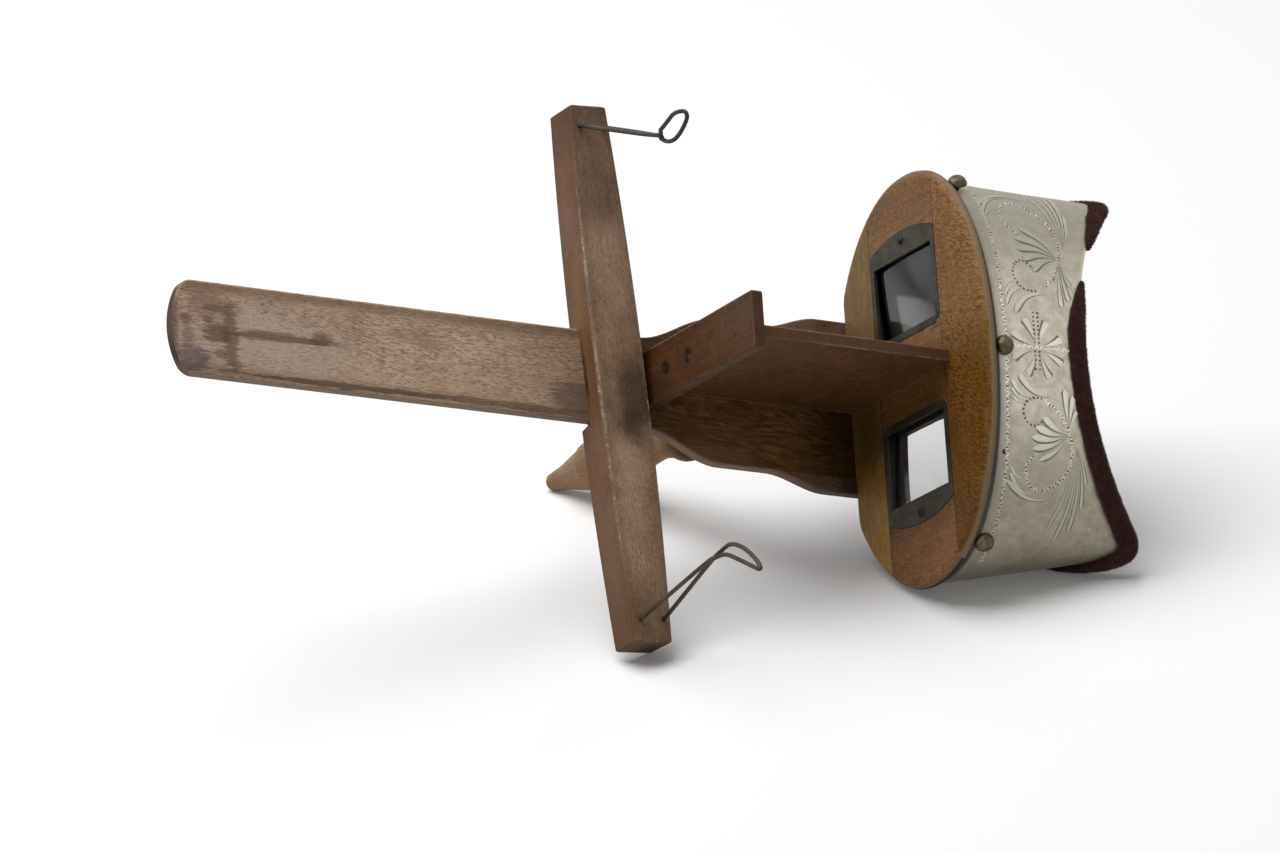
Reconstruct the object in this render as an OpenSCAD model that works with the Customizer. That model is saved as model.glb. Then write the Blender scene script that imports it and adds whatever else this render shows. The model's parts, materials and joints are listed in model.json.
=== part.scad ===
// Handheld stereoscope. A three-piece lens board with a sheet-metal hood stands on a shaped base.
// A slide bar is lapped to the base and carries a card holder, and a turned handle folds below.
// Pieces are drawn as in use: X across, Y along the bar away from the face, Z up, with the top
// of the base at Z = 0 and the front of the lens board at Y = 0. The last section lays the
// finished instrument on its side, on the three points it rests on when put down on a table.

/* [Slide bar] */
// Width of the slide bar
bar_w = 32.8; // [28:0.2:36]
// Thickness of the slide bar
bar_t = 4.4; // [3.6:0.1:5.4]
// Distance from the lens board to the far corners of the bar
bar_reach = 261; // [220:1:300]
// Rise of the rounded far end of the bar
bar_end_rise = 4.8; // [2:0.1:8]
// Radius of the bar's far corners
bar_corner = 3; // [1:0.5:6]
// Length of the half lap between bar and base
lap_len = 15; // [12:1:17]

/* [Base board] */
// Thickness of the base board
base_t = 4.8; // [4:0.1:6]
// Width of the base at its middle swell
swell_w = 52.8; // [44:0.2:58]
// Width of the base under the lens board
heel_w = 63.4; // [58:0.2:70]

/* [Lens board] */
// Thickness of the lens board
board_t = 12; // [10:0.5:15]
// Half width of the oval board
board_half = 74.5; // [70:0.5:80]
// Height of the widest line of the oval
board_mid = 40; // [36:0.5:44]
// Rise of the oval above its widest line
board_up = 46.5; // [42:0.5:50]
// Drop of the full oval below its widest line, before the flat foot
board_down = 51; // [48:0.5:56]
// Sideways shift of the oval from the middle of the bar
oval_shift = -1.2; // [-3:0.1:3]
// Radius of the front edge
edge_r = 3.2; // [1:0.2:3.6]
// Depth of the rabbet that the hood sits in
rabbet = 2.6; // [2.3:0.1:4]
// Top of the lower rail
rail_low_z = 18.3; // [16:0.1:19.2]
// Bottom of the upper rail
rail_high_z = 59; // [58.8:0.1:62]

/* [Lenses] */
// Distance from the middle to the inner side of each window
window_in = 16.5; // [15.5:0.1:20]
// Width of each window
window_w = 27.3; // [24:0.1:30]
// Height of each window
window_h = 36; // [32:0.1:36]
// Radius of the lens faces
lens_r = 300; // [260:5:500]
// Greatest thickness of the lens
lens_t = 6; // [5.5:0.1:6.3]
// Distance from the middle to the optical axis of each half lens
lens_axis = 46; // [38:0.5:50]
// Thickness of the metal lens frame
frame_t = 1.2; // [0.8:0.1:1.6]
// Length of the frame's arched end beyond the window
frame_tail = 9.2; // [8.2:0.1:12]

/* [Septum] */
// Thickness of the septum
septum_t = 4.3; // [3.2:0.1:6]
// Height of the septum
septum_h = 63; // [55:0.5:70]
// Length of the septum from the lens board
septum_len = 81; // [76:0.5:82]
// Width of the plate on the septum's end
plate_w = 20; // [16:0.5:24]
// Height of the plate
plate_h = 73.5; // [66:0.5:80]
// Thickness of the plate
plate_t = 4.8; // [3:0.1:5.5]

/* [Hood] */
// Sideways shift of the hood from the middle of the lens board
hood_shift = -1.3; // [-1.4:0.1:1.4]
// Thickness of the hood's sheet
sheet_t = 0.7; // [0.5:0.1:1]
// How much narrower each side of the hood grows per mm of depth
hood_taper = 0.137; // [0.08:0.001:0.2]
// How much the hood's widest line climbs per mm of depth
hood_climb = 0.38; // [0.3:0.01:0.45]
// How much the hood's lower half loses in height per mm of depth
hood_tuck = 0.255; // [0.1:0.005:0.35]
// Depth of the face edge at the middle of the forehead
brow_depth = 39.6; // [34:0.2:48]
// Radius of the face edge across the forehead
brow_r = 94; // [84:1:130]
// Depth of the face edge at the height of the base, if the cheek line ran straight on
cheek_depth = 16.5; // [14:0.5:24]
// Slope of the cheek line, in mm of depth per mm of height
cheek_slope = 0.77; // [0.5:0.01:0.9]
// Width of the velvet on each face of the sheet
velvet_w = 5; // [3:0.1:6]
// Reach of the velvet beyond the edge
velvet_r = 2.4; // [1.8:0.1:3]
// Thickness of the velvet outside the hood where it is worn flat
velvet_worn = 1.5; // [1.2:0.1:2.5]
// Thickness of the velvet outside the hood where its pile is full
velvet_full = 3.8; // [2.5:0.1:4.5]
// Diameter of the nail heads
nail_d = 7; // [4:0.1:8]

/* [Card holder] */
// Length of the crossbar
cross_len = 192; // [184:1:200]
// Height of the crossbar above the bar
cross_up = 8.4; // [6:0.1:12]
// Drop of the crossbar below the top of the bar
cross_drop = 6; // [5.6:0.1:7.5]
// Thickness of the crossbar at its middle
cross_mid_t = 19.8; // [16:0.1:22]
// Thickness of the crossbar at its ends
cross_end_t = 14.2; // [12:0.1:15]
// Gap between the holder and the plate as it was left
holder_gap = 3; // [2.5:0.1:20]
// Turn of the holder on the bar, taken up by the slack of its notch
holder_turn = 4; // [0:0.5:5]
// Running gap between bar and holder
slide_gap = 0.08; // [0.05:0.01:0.1]
// Diameter of the clip wire
wire_d = 1.3; // [1:0.1:1.6]
// Distance from the crossbar's end to the clip's two feet
clip_inset = 8.1; // [6:0.1:12]
// Distance between the clip's two feet
clip_feet = 9; // [7.5:0.1:10]
// Height of the taller clip's tip above the crossbar
clip_h = 69.5; // [55:0.5:80]

/* [Handle] */
// Distance from the lens board to the handle's pivot
pivot_y = 36.8; // [32:0.2:44]
// Distance of the pivot below the base
pivot_drop = 16.2; // [15.8:0.1:20]
// Lean of the handle towards the bar as it was left
handle_lean = 11.8; // [0:0.2:20]
// Length of the handle from its pivot to its tip
handle_len = 95.8; // [92:0.1:110]
// Radius of the turned collar
collar_r = 10.6; // [10:0.1:12]
// Radius of the neck
neck_r = 6.7; // [5:0.1:8]
// Radius of the grip's cylindrical band
grip_r = 9.9; // [8.5:0.1:11]
// Length of the grip's cylindrical band
grip_band = 8; // [6:0.5:12]
// Radius of the rounded tip
tip_r = 3.5; // [2.5:0.1:5]
// Thickness of the tongue between the cheeks
tongue_t = 6.4; // [5:0.1:8]
// Thickness of the bracket's sheet
cheek_t = 1.5; // [1:0.1:2]
// Diameter of the pivot rivet
pivot_d = 3.2; // [2.4:0.1:4]

/* [Hidden] */
$fn = 64;

// Gap round a seated screw, nail or glass, and gap of a soft or loose piece
fit_gap = 0.05;
seat_gap = 0.15;
loose_gap = 0.3;
// Small bevel on the wooden edges
bevel = 0.5;
eps = 0.01;

// Steps from 0 to 1 without a corner
function ease(t) = let (s = min(1, max(0, t))) s * s * (3 - 2 * s);
function unit(v) = v / norm(v);
function signed_pow(x, p) = sign(x) * pow(abs(x), p);
// Least of several values, with the corner between them rounded over k
function soft_min(list, k) = -k * ln([for (v = list) exp(-v / k)] * [for (v = list) 1]);
function flip(points) = [for (i = [len(points) - 1:-1:0]) points[i]];

// Smooth curve through points, with a few steps between each pair
function spline(pts, steps) = concat([
    for (i = [0:len(pts) - 2], k = [0:steps - 1])
        let (
            a = pts[max(0, i - 1)], b = pts[i], c = pts[i + 1],
            d = pts[min(len(pts) - 1, i + 2)], t = k / steps
        )
        b + t * (c - a) / 2 + t * t * (a - 2.5 * b + 2 * c - d / 2)
        + t * t * t * (-a / 2 + 1.5 * b - 1.5 * c + d / 2)
], [pts[len(pts) - 1]]);

// Solid through a stack of rings that run counterclockwise seen from the last ring
module loft(rings) {
    n = len(rings[0]);
    m = len(rings);
    sides = [
        for (k = [0:m - 2], i = [0:n - 1])
            let (a = k * n + i, b = k * n + (i + 1) % n)
            each [[a, a + n, b + n], [a, b + n, b]]
    ];
    first = [for (i = [0:n - 1]) i];
    last = [for (i = [n - 1:-1:0]) (m - 1) * n + i];
    polyhedron([for (r = rings) each r], concat(sides, [first, last]));
}

// Flat board under Z = 0 with bevelled edges, from an outline function of the inset
module bevelled_board(outline, t, c) {
    loft([
        for (level = [[-t, c], [-t + c, 0], [-c, 0], [0, c]])
            [for (p = outline(level[1])) [p.x, p.y, level[0]]]
    ]);
}

// Beam along X with bevelled edges, its half width a function of x, its ends square
module bevelled_beam(from, to, steps, half, low, high, c) {
    function ring(x, inset) =
        let (t = half(x) - inset, z0 = low + inset, z1 = high - inset)
        [
            [x, c - t, z0], [x, t - c, z0], [x, t, z0 + c], [x, t, z1 - c],
            [x, t - c, z1], [x, c - t, z1], [x, -t, z1 - c], [x, -t, z0 + c]
        ];
    run = to - from - 2 * c;
    loft(concat(
        [ring(from, c)], [for (i = [0:steps]) ring(from + c + run * i / steps, 0)], [ring(to, c)]
    ));
}

// Screw along -Z with the top of its head at Z = 0, flat in its sink or with a round head
module screw(head_d, shank_d, length, round_head = false) {
    head_h = round_head ? head_d * 0.35 : (head_d - shank_d) / 2;
    slot_w = head_d * 0.14;
    difference() {
        rotate_extrude() polygon(concat(
            round_head
                ? [for (a = [90:-10:0]) [head_d / 2 * cos(a), head_h * sin(a) - head_h]]
                : [[0, 0], [head_d / 2, 0]],
            [
                [shank_d / 2, -head_h], [shank_d / 2, -length + shank_d],
                [0, -length]
            ]
        ));
        translate([-head_d, -slot_w / 2, -head_d * 0.1])
            cube([2 * head_d, slot_w, head_d]);
    }
}

// Hole that such a screw fills, with its head sunk or standing above
module screw_hole(head_d, shank_d, length, round_head = false) {
    head_h = round_head ? head_d * 0.35 : (head_d - shank_d) / 2;
    translate([0, 0, -length - fit_gap])
        cylinder(d = shank_d + 2 * fit_gap, h = length + 1);
    if (!round_head) {
        translate([0, 0, -head_h])
            cylinder(d1 = shank_d + 2 * fit_gap, d2 = head_d + 2 * fit_gap, h = head_h);
        cylinder(d = head_d + 2 * fit_gap, h = 1);
    }
}

// Outlines of the flat wooden pieces

bar_half = bar_w / 2;
// The base is as narrow as the bar from under the plate, so the holder can slide up to the plate
neck_y = septum_len + plate_t - 0.8;
lap_y = neck_y - 2;

// Far end of the bar: a flat arc with rounded corners
function bar_end_y(x) =
    let (
        r = (bar_half * bar_half + bar_end_rise * bar_end_rise) / (2 * bar_end_rise),
        past = max(0, abs(x) - (bar_half - bar_corner)) / bar_corner
    )
    bar_reach + sqrt(r * r - x * x) - (r - bar_end_rise)
    - bar_corner * (1 - sqrt(max(0, 1 - past * past)));

function bar_outline(inset) = concat(
    [[-bar_half + inset, lap_y], [bar_half - inset, lap_y]],
    [
        for (a = [0:7.5:180])
            [(bar_half - inset) * cos(a), bar_end_y(bar_half * cos(a)) - inset]
    ]
);

// Half width of the base at a distance y from the lens board
swell_len = 30;
shoulder_y = 35;
shoulder_len = 23;
function base_half(y) =
    bar_half + (swell_w / 2 - bar_half) * ease((neck_y - y) / swell_len)
    + (heel_w - swell_w) / 2 * ease((shoulder_y - y) / shoulder_len);

// The oval of the lens board and of the hood: a fuller upper half on a plain lower half
upper_power = 2 / 2.15;
function oval(half, mid, up, down, a) = [
    oval_shift + half * signed_pow(cos(a), sin(a) > 0 ? upper_power : 1),
    mid + (sin(a) > 0 ? up : down) * signed_pow(sin(a), sin(a) > 0 ? upper_power : 1)
];
function board_point(inset, a) =
    oval(board_half - inset, board_mid, board_up - inset, board_down - inset, a);

// Screw places

screw_d = 2.4;
flat_head = 5.2;
round_head = 3.6;
bracket_screw_y = 14;

module base_screw_places() {
    for (side = [-1, 1])
        translate([side * (heel_w / 2 - 6.7), -board_t / 2, -base_t]) mirror([0, 0, 1]) children();
    for (share = [0.17, 0.75])
        translate([0, septum_len * share, -base_t]) mirror([0, 0, 1]) children();
}
base_screw_len = 15;

module lap_screw_places() {
    for (x = [-9, 9])
        translate([x, lap_y + lap_len / 2, -bar_t]) mirror([0, 0, 1]) children();
}
lap_screw_d = 1.8;
lap_head_d = 3.4;
lap_screw_len = bar_t - 0.4;

module plate_screw_places() {
    for (z = [16.5, 31])
        translate([0, septum_len + plate_t, z]) rotate([-90, 0, 0]) children();
}
plate_screw_len = plate_t + 9;

// Bar and base

module slide_bar() {
    color("#7c6557")
    difference() {
        bevelled_board(function (inset) bar_outline(inset), bar_t, bevel);
        translate([-bar_w, lap_y - 1, -bar_t / 2])
            cube([2 * bar_w, lap_len + 1, bar_t]);
        lap_screw_places() screw_hole(lap_head_d, lap_screw_d, lap_screw_len);
    }
}

module base_board() {
    color("#5a3f30")
    difference() {
        rotate([0, 0, 90])
            bevelled_beam(-board_t, lap_y + lap_len, 50, function (y) base_half(y), -base_t, 0, bevel);
        translate([-bar_w, lap_y, -base_t - 1])
            cube([2 * bar_w, lap_len + 1, base_t + 1 - bar_t / 2]);
        base_screw_places() screw_hole(flat_head, screw_d, base_screw_len);
        lap_screw_places() screw_hole(lap_head_d, lap_screw_d, lap_screw_len);
        bracket_screw_places() screw_hole(round_head, screw_d, bracket_screw_len, true);
    }
}

// Lens board

// The whole oval: a rounded front lip and, behind it, the rabbet for the hood
oval_steps = 120;
module board_blank() {
    lip = [
        for (t = [0:22.5:90]) [-edge_r * (1 - cos(t)), edge_r * (1 - sin(t))]
    ];
    levels = concat([[-edge_r - eps, 0]], flip(lip));
    rotate([90, 0, 0]) mirror([0, 0, 1]) loft([
        for (level = levels)
            [for (i = [0:oval_steps - 1]) let (p = board_point(level[1], i * 360 / oval_steps))
                [p.x, p.y, level[0]]]
    ]);
    loft([
        for (depth = [edge_r, board_t])
            [for (i = [0:oval_steps - 1])
                hood_point(i * 360 / oval_steps, depth, sheet_t + seat_gap)]
    ]);
}

// Part of the board between two heights
module board_band(z0, z1) {
    intersection() {
        board_blank();
        translate([-board_half - 10, -board_t - 1, z0])
            cube([2 * board_half + 20, board_t + 2, z1 - z0]);
    }
}

module lower_rail() {
    color("#94663a")
    difference() {
        board_band(0, rail_low_z);
        base_screw_places() screw_hole(flat_head, screw_d, base_screw_len);
        hood_nail_places() nail_hole();
    }
}

module upper_rail() {
    color("#94663a")
    difference() {
        board_band(rail_high_z, board_mid + board_up + 1);
        hood_nail_places() nail_hole();
        hood_spare_hole();
    }
}

window_z = (rail_low_z + rail_high_z - window_h) / 2;
frame_seat = frame_t - 0.2;
frame_in = window_in - 2.5;
frame_reach = window_in + window_w + frame_tail;
frame_gap = 0.15;

// The lens seat is a little larger than the window, and the lens a little smaller than its seat
seat_edge = 1.5;
module window_box(edge, y0, y1) {
    translate([window_in - edge, y0, window_z - edge])
        cube([window_w + 2 * edge, y1 - y0, window_h + 2 * edge]);
}

module frame_outline(grow) {
    half_h = (rail_high_z - rail_low_z) / 2;
    arch = 4.1;
    r = (half_h * half_h + arch * arch) / (2 * arch);
    corner = 3;
    translate([0, rail_low_z + half_h])
    intersection() {
        translate([frame_reach - r, 0]) circle(r = r + grow, $fn = 180);
        polygon([
            [frame_in - grow, corner - half_h], [frame_in + corner, -half_h],
            [frame_reach + 5, -half_h], [frame_reach + 5, half_h],
            [frame_in + corner, half_h], [frame_in - grow, half_h - corner]
        ]);
    }
}

module lens_panel() {
    color("#946a3c")
    difference() {
        board_band(rail_low_z, rail_high_z);
        for (side = [0, 1]) mirror([side, 0, 0]) {
            translate([0, 1, 0]) rotate([90, 0, 0])
                linear_extrude(frame_seat + 1) frame_outline(frame_gap);
            window_box(seat_edge, -frame_t - lens_t - 0.1, 1);
            window_box(-0.4, -board_t - 1, 1);
            frame_screw_place() screw_hole(frame_head, frame_screw_d, frame_screw_len, true);
        }
        hood_nail_places() nail_hole();
    }
}

// Half lens, thick towards the temple, cut from a large double-convex glass
module half_lens() {
    gap = 0.2;
    mid_y = -frame_t - lens_t / 2;
    reach = sqrt(lens_r * lens_t);
    rise = [
        for (i = [0:20]) let (x = reach * i / 20) [x, lens_t / 2 - lens_r + sqrt(lens_r * lens_r - x * x)]
    ];
    intersection() {
        window_box(seat_edge - gap, mid_y - lens_t, mid_y + lens_t);
        translate([lens_axis, mid_y, board_mid]) rotate([90, 0, 0]) rotate_extrude($fn = 180)
            polygon(concat([for (p = flip(rise)) [p.x, max(0, p.y)]],
                           [for (i = [0:19]) [rise[i].x, -rise[i].y]]));
    }
}

module lens_right() {
    color("#cfd8dc") half_lens();
}

module lens_left() {
    color("#cfd8dc") mirror([1, 0, 0]) half_lens();
}

frame_head = 2.8;
frame_screw_d = 1.3;
frame_screw_len = 6;
frame_screw_h = frame_head * 0.35;
module frame_screw_place() {
    translate([frame_reach - 0.38 * frame_tail, frame_t - frame_seat + frame_screw_h, (rail_low_z + rail_high_z) / 2])
        rotate([-90, 0, 0]) children();
}

module lens_frame() {
    difference() {
        translate([0, frame_t - frame_seat, 0]) rotate([90, 0, 0])
            linear_extrude(frame_t) frame_outline(0);
        window_box(0, -board_t, 2);
        frame_screw_place() screw_hole(frame_head, frame_screw_d, frame_screw_len, true);
    }
}

module lens_frame_right() {
    color("#4f4f49") lens_frame();
}

module lens_frame_left() {
    color("#4f4f49") mirror([1, 0, 0]) lens_frame();
}

module frame_screws() {
    color("#3c3a33")
    for (side = [0, 1]) mirror([side, 0, 0])
        frame_screw_place() screw(frame_head, frame_screw_d, frame_screw_len, true);
}

// Septum and its end plate

module septum() {
    color("#5d4232")
    difference() {
        translate([-septum_t / 2, 0, 0]) cube([septum_t, septum_len, septum_h]);
        for (side = [-1, 1])
            translate([side * septum_t / 2, -1, septum_h]) rotate([0, 45, 0])
                translate([-bevel / 2, 0, -bevel / 2]) cube([bevel, septum_len + 2, bevel]);
        base_screw_places() screw_hole(flat_head, screw_d, base_screw_len);
        plate_screw_places() screw_hole(flat_head, screw_d, plate_screw_len);
    }
}

function plate_outline(inset) = [
    [-plate_w / 2 + inset, 0], [plate_w / 2 - inset, 0],
    [plate_w / 2 - inset, plate_h - bevel], [plate_w / 2 - bevel, plate_h - inset],
    [-plate_w / 2 + bevel, plate_h - inset], [-plate_w / 2 + inset, plate_h - bevel]
];

module septum_plate() {
    color("#6e472e")
    difference() {
        translate([0, septum_len, 0]) rotate([90, 0, 0])
            bevelled_board(function (inset) plate_outline(inset), plate_t, bevel);
        plate_screw_places() screw_hole(flat_head, screw_d, plate_screw_len);
    }
}

module plate_screws() {
    color("#4a4640")
    plate_screw_places() screw(flat_head, screw_d, plate_screw_len);
}

module base_screws() {
    color("#4a4640") {
        base_screw_places() screw(flat_head, screw_d, base_screw_len);
        lap_screw_places() screw(lap_head_d, lap_screw_d, lap_screw_len);
    }
}

// Hood

// Sides of the hood on the board, and the depth where its sheet starts behind the lip
hood_inset = rabbet - seat_gap - sheet_t;
hood_start = edge_r + 0.1;
hood_foot = 0.6;
foot_angle = asin((board_mid - hood_foot) / (board_down - hood_inset));

// A point of the hood's outer face, or of one sunk by an inset, at an angle and a depth
function hood_point(a, depth, inset = 0) =
    let (
        mid = board_mid + hood_climb * depth,
        up = board_mid + board_up - hood_inset - mid - inset,
        down = board_down - hood_inset - hood_tuck * depth - inset,
        p = oval(board_half - hood_inset - hood_taper * depth - inset, mid, up, down, a)
    )
    [p.x + hood_shift, -depth, p.y];

// Depth of the face edge at an angle: the brow, the cheek line and the turn down to the board
foot_turn = 3.6;
function rim_depth(a) =
    let (
        p = hood_point(a, 50),
        low = min(a, 180 - a) + foot_angle,
        x = p.x - oval_shift - hood_shift
    )
    soft_min([
        brow_depth + brow_r - sqrt(brow_r * brow_r - x * x),
        cheek_depth + cheek_slope * p.z,
        board_t + 1 + foot_turn * low
    ], 2.5);

// Angles along the hood, closer together towards its two feet
hood_steps = 84;
function hood_angle(i) =
    let (t = i / hood_steps)
    -foot_angle + (180 + 2 * foot_angle) * (t - 0.12 * sin(360 * t));

hood_rows = 3;
function hood_depth(a, j) = hood_start + (rim_depth(a) - hood_start) * j / hood_rows;

module hood_shell() {
    angles = [for (i = [0:hood_steps]) hood_angle(i)];
    loft([
        for (a = angles) concat(
            [for (j = [0:hood_rows]) hood_point(a, hood_depth(a, j))],
            [for (j = [hood_rows:-1:0]) hood_point(a, hood_depth(a, j), sheet_t)]
        )
    ]);
}

nail_angles = [-45, 28, 90, 152, 225];
nail_depth = (hood_start + board_t) / 2;
function hood_normal(a) =
    unit(cross(hood_point(a + 1, nail_depth) - hood_point(a - 1, nail_depth),
               hood_point(a, nail_depth + 1) - hood_point(a, nail_depth)));

// Stands what follows square on the hood, over the edge of the board
module on_hood(a) {
    n = hood_normal(a);
    translate(hood_point(a, nail_depth)) rotate([0, acos(n.z), atan2(n.y, n.x)]) children();
}

nail_shank = 1.6;
nail_len = 7;
module hood_nail_places() {
    for (a = nail_angles) on_hood(a) children();
}

module nail_hole() {
    translate([0, 0, -nail_len - 0.2]) cylinder(d = nail_shank + 2 * fit_gap, h = nail_len + 3);
}

// Hole of a nail that is gone
module hood_spare_hole() {
    on_hood(119) nail_hole();
}

module hood() {
    color("#aaa89d")
    difference() {
        hood_shell();
        hood_nail_places() nail_hole();
        hood_spare_hole();
    }
}

nail_h = nail_d * 0.42;
module hood_nails() {
    color("#5c5644")
    hood_nail_places() {
        translate([0, 0, fit_gap]) rotate_extrude()
            polygon(concat([[0, 0]], [for (a = [0:9:90]) [nail_d / 2 * cos(a), nail_h * sin(a)]]));
        translate([0, 0, -nail_len]) cylinder(d = nail_shank, h = nail_len + 1);
    }
}

// Velvet binding: a roll folded over the face edge, with its two flaps on the sheet
function rim_mid(a) = hood_point(a, rim_depth(a), sheet_t / 2);
// Outer thickness: worn flat on one side of the face, full on the other
function velvet_out(a) = velvet_worn + (velvet_full - velvet_worn) * ease((a - 95) / 70);
// Corners of the binding's section: beyond the edge, and out from the sheet
velvet_slot = sheet_t / 2 + loose_gap;
velvet_in = 1.9;
function velvet_section(out) = [
    [-velvet_w, velvet_slot], [loose_gap, velvet_slot], [loose_gap, -velvet_slot],
    [-velvet_w, -velvet_slot], [-velvet_w + 0.2, -velvet_in * 0.62],
    [-velvet_w / 2, -velvet_in * 0.9], [0, -velvet_in], [velvet_r * 0.7, -velvet_in * 0.7],
    [velvet_r, 0], [velvet_r * 0.75, out * 0.7], [0, out],
    [-velvet_w / 2, out * 0.9], [-velvet_w + 0.2, out * 0.62]
];
// The flaps follow the sheet's straight lines, which cross the edge at a slant on the cheeks
function velvet_ring(a) =
    let (
        along = unit(rim_mid(a + 0.5) - rim_mid(a - 0.5)),
        line = unit(hood_point(a, rim_depth(a)) - hood_point(a, rim_depth(a) - 1)),
        past = line / norm(cross(line, along)),
        out = unit(cross(along, line))
    )
    [for (p = velvet_section(velvet_out(a))) rim_mid(a) + past * p.x + out * p.y];

module velvet_run(from, to, steps) {
    loft([for (i = [0:steps]) velvet_ring(from + (to - from) * i / steps)]);
}

velvet_foot = 4;
torn_from = 49;
torn_to = 69;
module hood_velvet() {
    color("#4a1f26") {
        velvet_run(velvet_foot - foot_angle, torn_from, 26);
        velvet_run(torn_to, 180 + foot_angle - velvet_foot, 44);
    }
}

// Card holder

holder_y = septum_len + plate_t + holder_gap + cross_mid_t / 2;
function at_holder(p) = [
    p.x * cos(holder_turn) - p.y * sin(holder_turn),
    holder_y + p.x * sin(holder_turn) + p.y * cos(holder_turn), p.z
];
module holder_frame() {
    translate([0, holder_y, 0]) rotate([0, 0, holder_turn]) children();
}

// The notch is wide enough for the holder to swing by its turn
notch_half = (bar_half + slide_gap + cross_mid_t / 2 * sin(holder_turn)) / cos(holder_turn);
notch_mouth = 1.2;

cross_half_len = cross_len / 2;
clip_reach = cross_half_len - clip_inset;
function cross_half_t(x) =
    let (s = x / cross_half_len) (cross_end_t + (cross_mid_t - cross_end_t) * (1 - s * s)) / 2;

clip_hole = 8;
module crossbar() {
    color("#6f5344")
    holder_frame() difference() {
        bevelled_beam(-cross_half_len, cross_half_len, 28, function (x) cross_half_t(x),
                      -cross_drop, cross_up, bevel);
        rotate([90, 0, 0]) linear_extrude(cross_mid_t + 4, center = true) polygon([
            [-notch_half, slide_gap], [-notch_half, -cross_drop + 4],
            [-notch_half - notch_mouth, -cross_drop - 1],
            [notch_half + notch_mouth, -cross_drop - 1],
            [notch_half, -cross_drop + 4], [notch_half, slide_gap]
        ]);
        for (x = [-clip_reach, clip_reach], y = [-clip_feet / 2, clip_feet / 2])
            translate([x, y, cross_up - clip_hole])
                cylinder(d = wire_d + 2 * fit_gap, h = clip_hole + 1);
        spring_screw_places() screw_hole(round_head, screw_d, spring_screw_len, true);
    }
}

// Wire clip: two feet in the crossbar, strands that lean in and meet to grip the card's end,
// and a loop in the plane of the crossbar above them. Both were bent by use in their own way.
// Points are measured out from the feet and up from the crossbar, for a clip of the old height.
old_clip_h = 69.5;
clip_meet_gap = wire_d / 2 + 0.15;
right_meet = [-16.2, 39];
right_outer = [[-13.8, 48], [-13.4, 55.5]];
right_tip = [-15.2, 61.3];
right_inner = [[-18.6, 59.4], [-21.4, 53], [-21.4, 48], [-19.6, 44]];
left_meet = [-8.4, 37.4];
left_outer = [[-8.8, 44], [-8, 51.6], [-3.6, 60]];
left_tip = [1.8, 69];
left_inner = [[-1.4, 67.2], [-7.6, 60.6], [-11.2, 53], [-10.6, 46]];

function clip_point(p, y) =
    [clip_reach + p.x, y, cross_up + p.y * clip_h / old_clip_h];
function clip_foot(side) = [
    for (z = [-clip_hole + 0.3, -2, 1]) [clip_reach, side * clip_feet / 2, cross_up + z]
];
function clip_points(meet, outer, tip, inner) = concat(
    clip_foot(1),
    [clip_point(meet, clip_meet_gap)],
    [for (p = outer) clip_point(p, clip_meet_gap)],
    [clip_point(tip, 0)],
    [for (p = inner) clip_point(p, -clip_meet_gap)],
    [clip_point(meet, -clip_meet_gap)],
    flip(clip_foot(-1))
);
right_path = spline(clip_points(right_meet, right_outer, right_tip, right_inner), 4);
left_path = spline(clip_points(left_meet, left_outer, left_tip, left_inner), 4);

function wire_ring(p, along) =
    let (
        ref = [0, 1, 0.1],
        n = unit(ref - (ref * along) * along),
        b = cross(along, n)
    )
    [for (i = [0:7]) p + wire_d / 2 * (n * cos(i * 45) + b * sin(i * 45))];

module clip_wire(path) {
    last = len(path) - 1;
    loft([
        for (i = [0:last])
            wire_ring(path[i], unit(path[min(last, i + 1)] - path[max(0, i - 1)]))
    ]);
}

module card_clip_right() {
    color("#4e4a40") holder_frame() clip_wire(right_path);
}

module card_clip_left() {
    color("#4e4a40") holder_frame() mirror([1, 0, 0]) clip_wire(left_path);
}

// Bowed spring under the notch, which presses the holder up against the bar
spring_w = 13;
spring_t = 0.8;
spring_half = notch_half + 10;
spring_screw_len = 9;
spring_screw_x = notch_half + 5;
spring_head_h = round_head * 0.35;
module spring_screw_places() {
    for (x = [-spring_screw_x, spring_screw_x])
        translate([x, 0, -cross_drop - spring_t - spring_head_h])
            mirror([0, 0, 1]) children();
}

function spring_rise(x) =
    let (span = notch_half - 1, rise = cross_drop - bar_t - slide_gap)
    abs(x) < span ? rise * pow(cos(90 * x / span), 2) : 0;
spring_top = [
    for (i = [-14:14])
        let (x = i * spring_half / 14) [x, -cross_drop + spring_rise(x)]
];

module holder_spring() {
    color("#6b6558")
    holder_frame() difference() {
        rotate([90, 0, 0]) linear_extrude(spring_w, center = true)
            polygon(concat(spring_top, flip([for (p = spring_top) [p.x, p.y - spring_t]])));
        spring_screw_places() screw_hole(round_head, screw_d, spring_screw_len, true);
    }
}

module spring_screws() {
    color("#4a4640")
    holder_frame() spring_screw_places() screw(round_head, screw_d, spring_screw_len, true);
}

// Handle and its bracket

pivot_z = -base_t - pivot_drop;
cheek_in = tongue_t / 2 + 0.15;
cheek_out = cheek_in + cheek_t;
cheek_r = 6.5;
bracket_half = 20;
bracket_screw_len = cheek_t + base_t - 0.6;
bracket_head_h = round_head * 0.35;

module bracket_screw_places() {
    for (y = [-bracket_screw_y, bracket_screw_y])
        translate([0, pivot_y + y, -base_t - cheek_t - bracket_head_h])
            mirror([0, 0, 1]) children();
}

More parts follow.
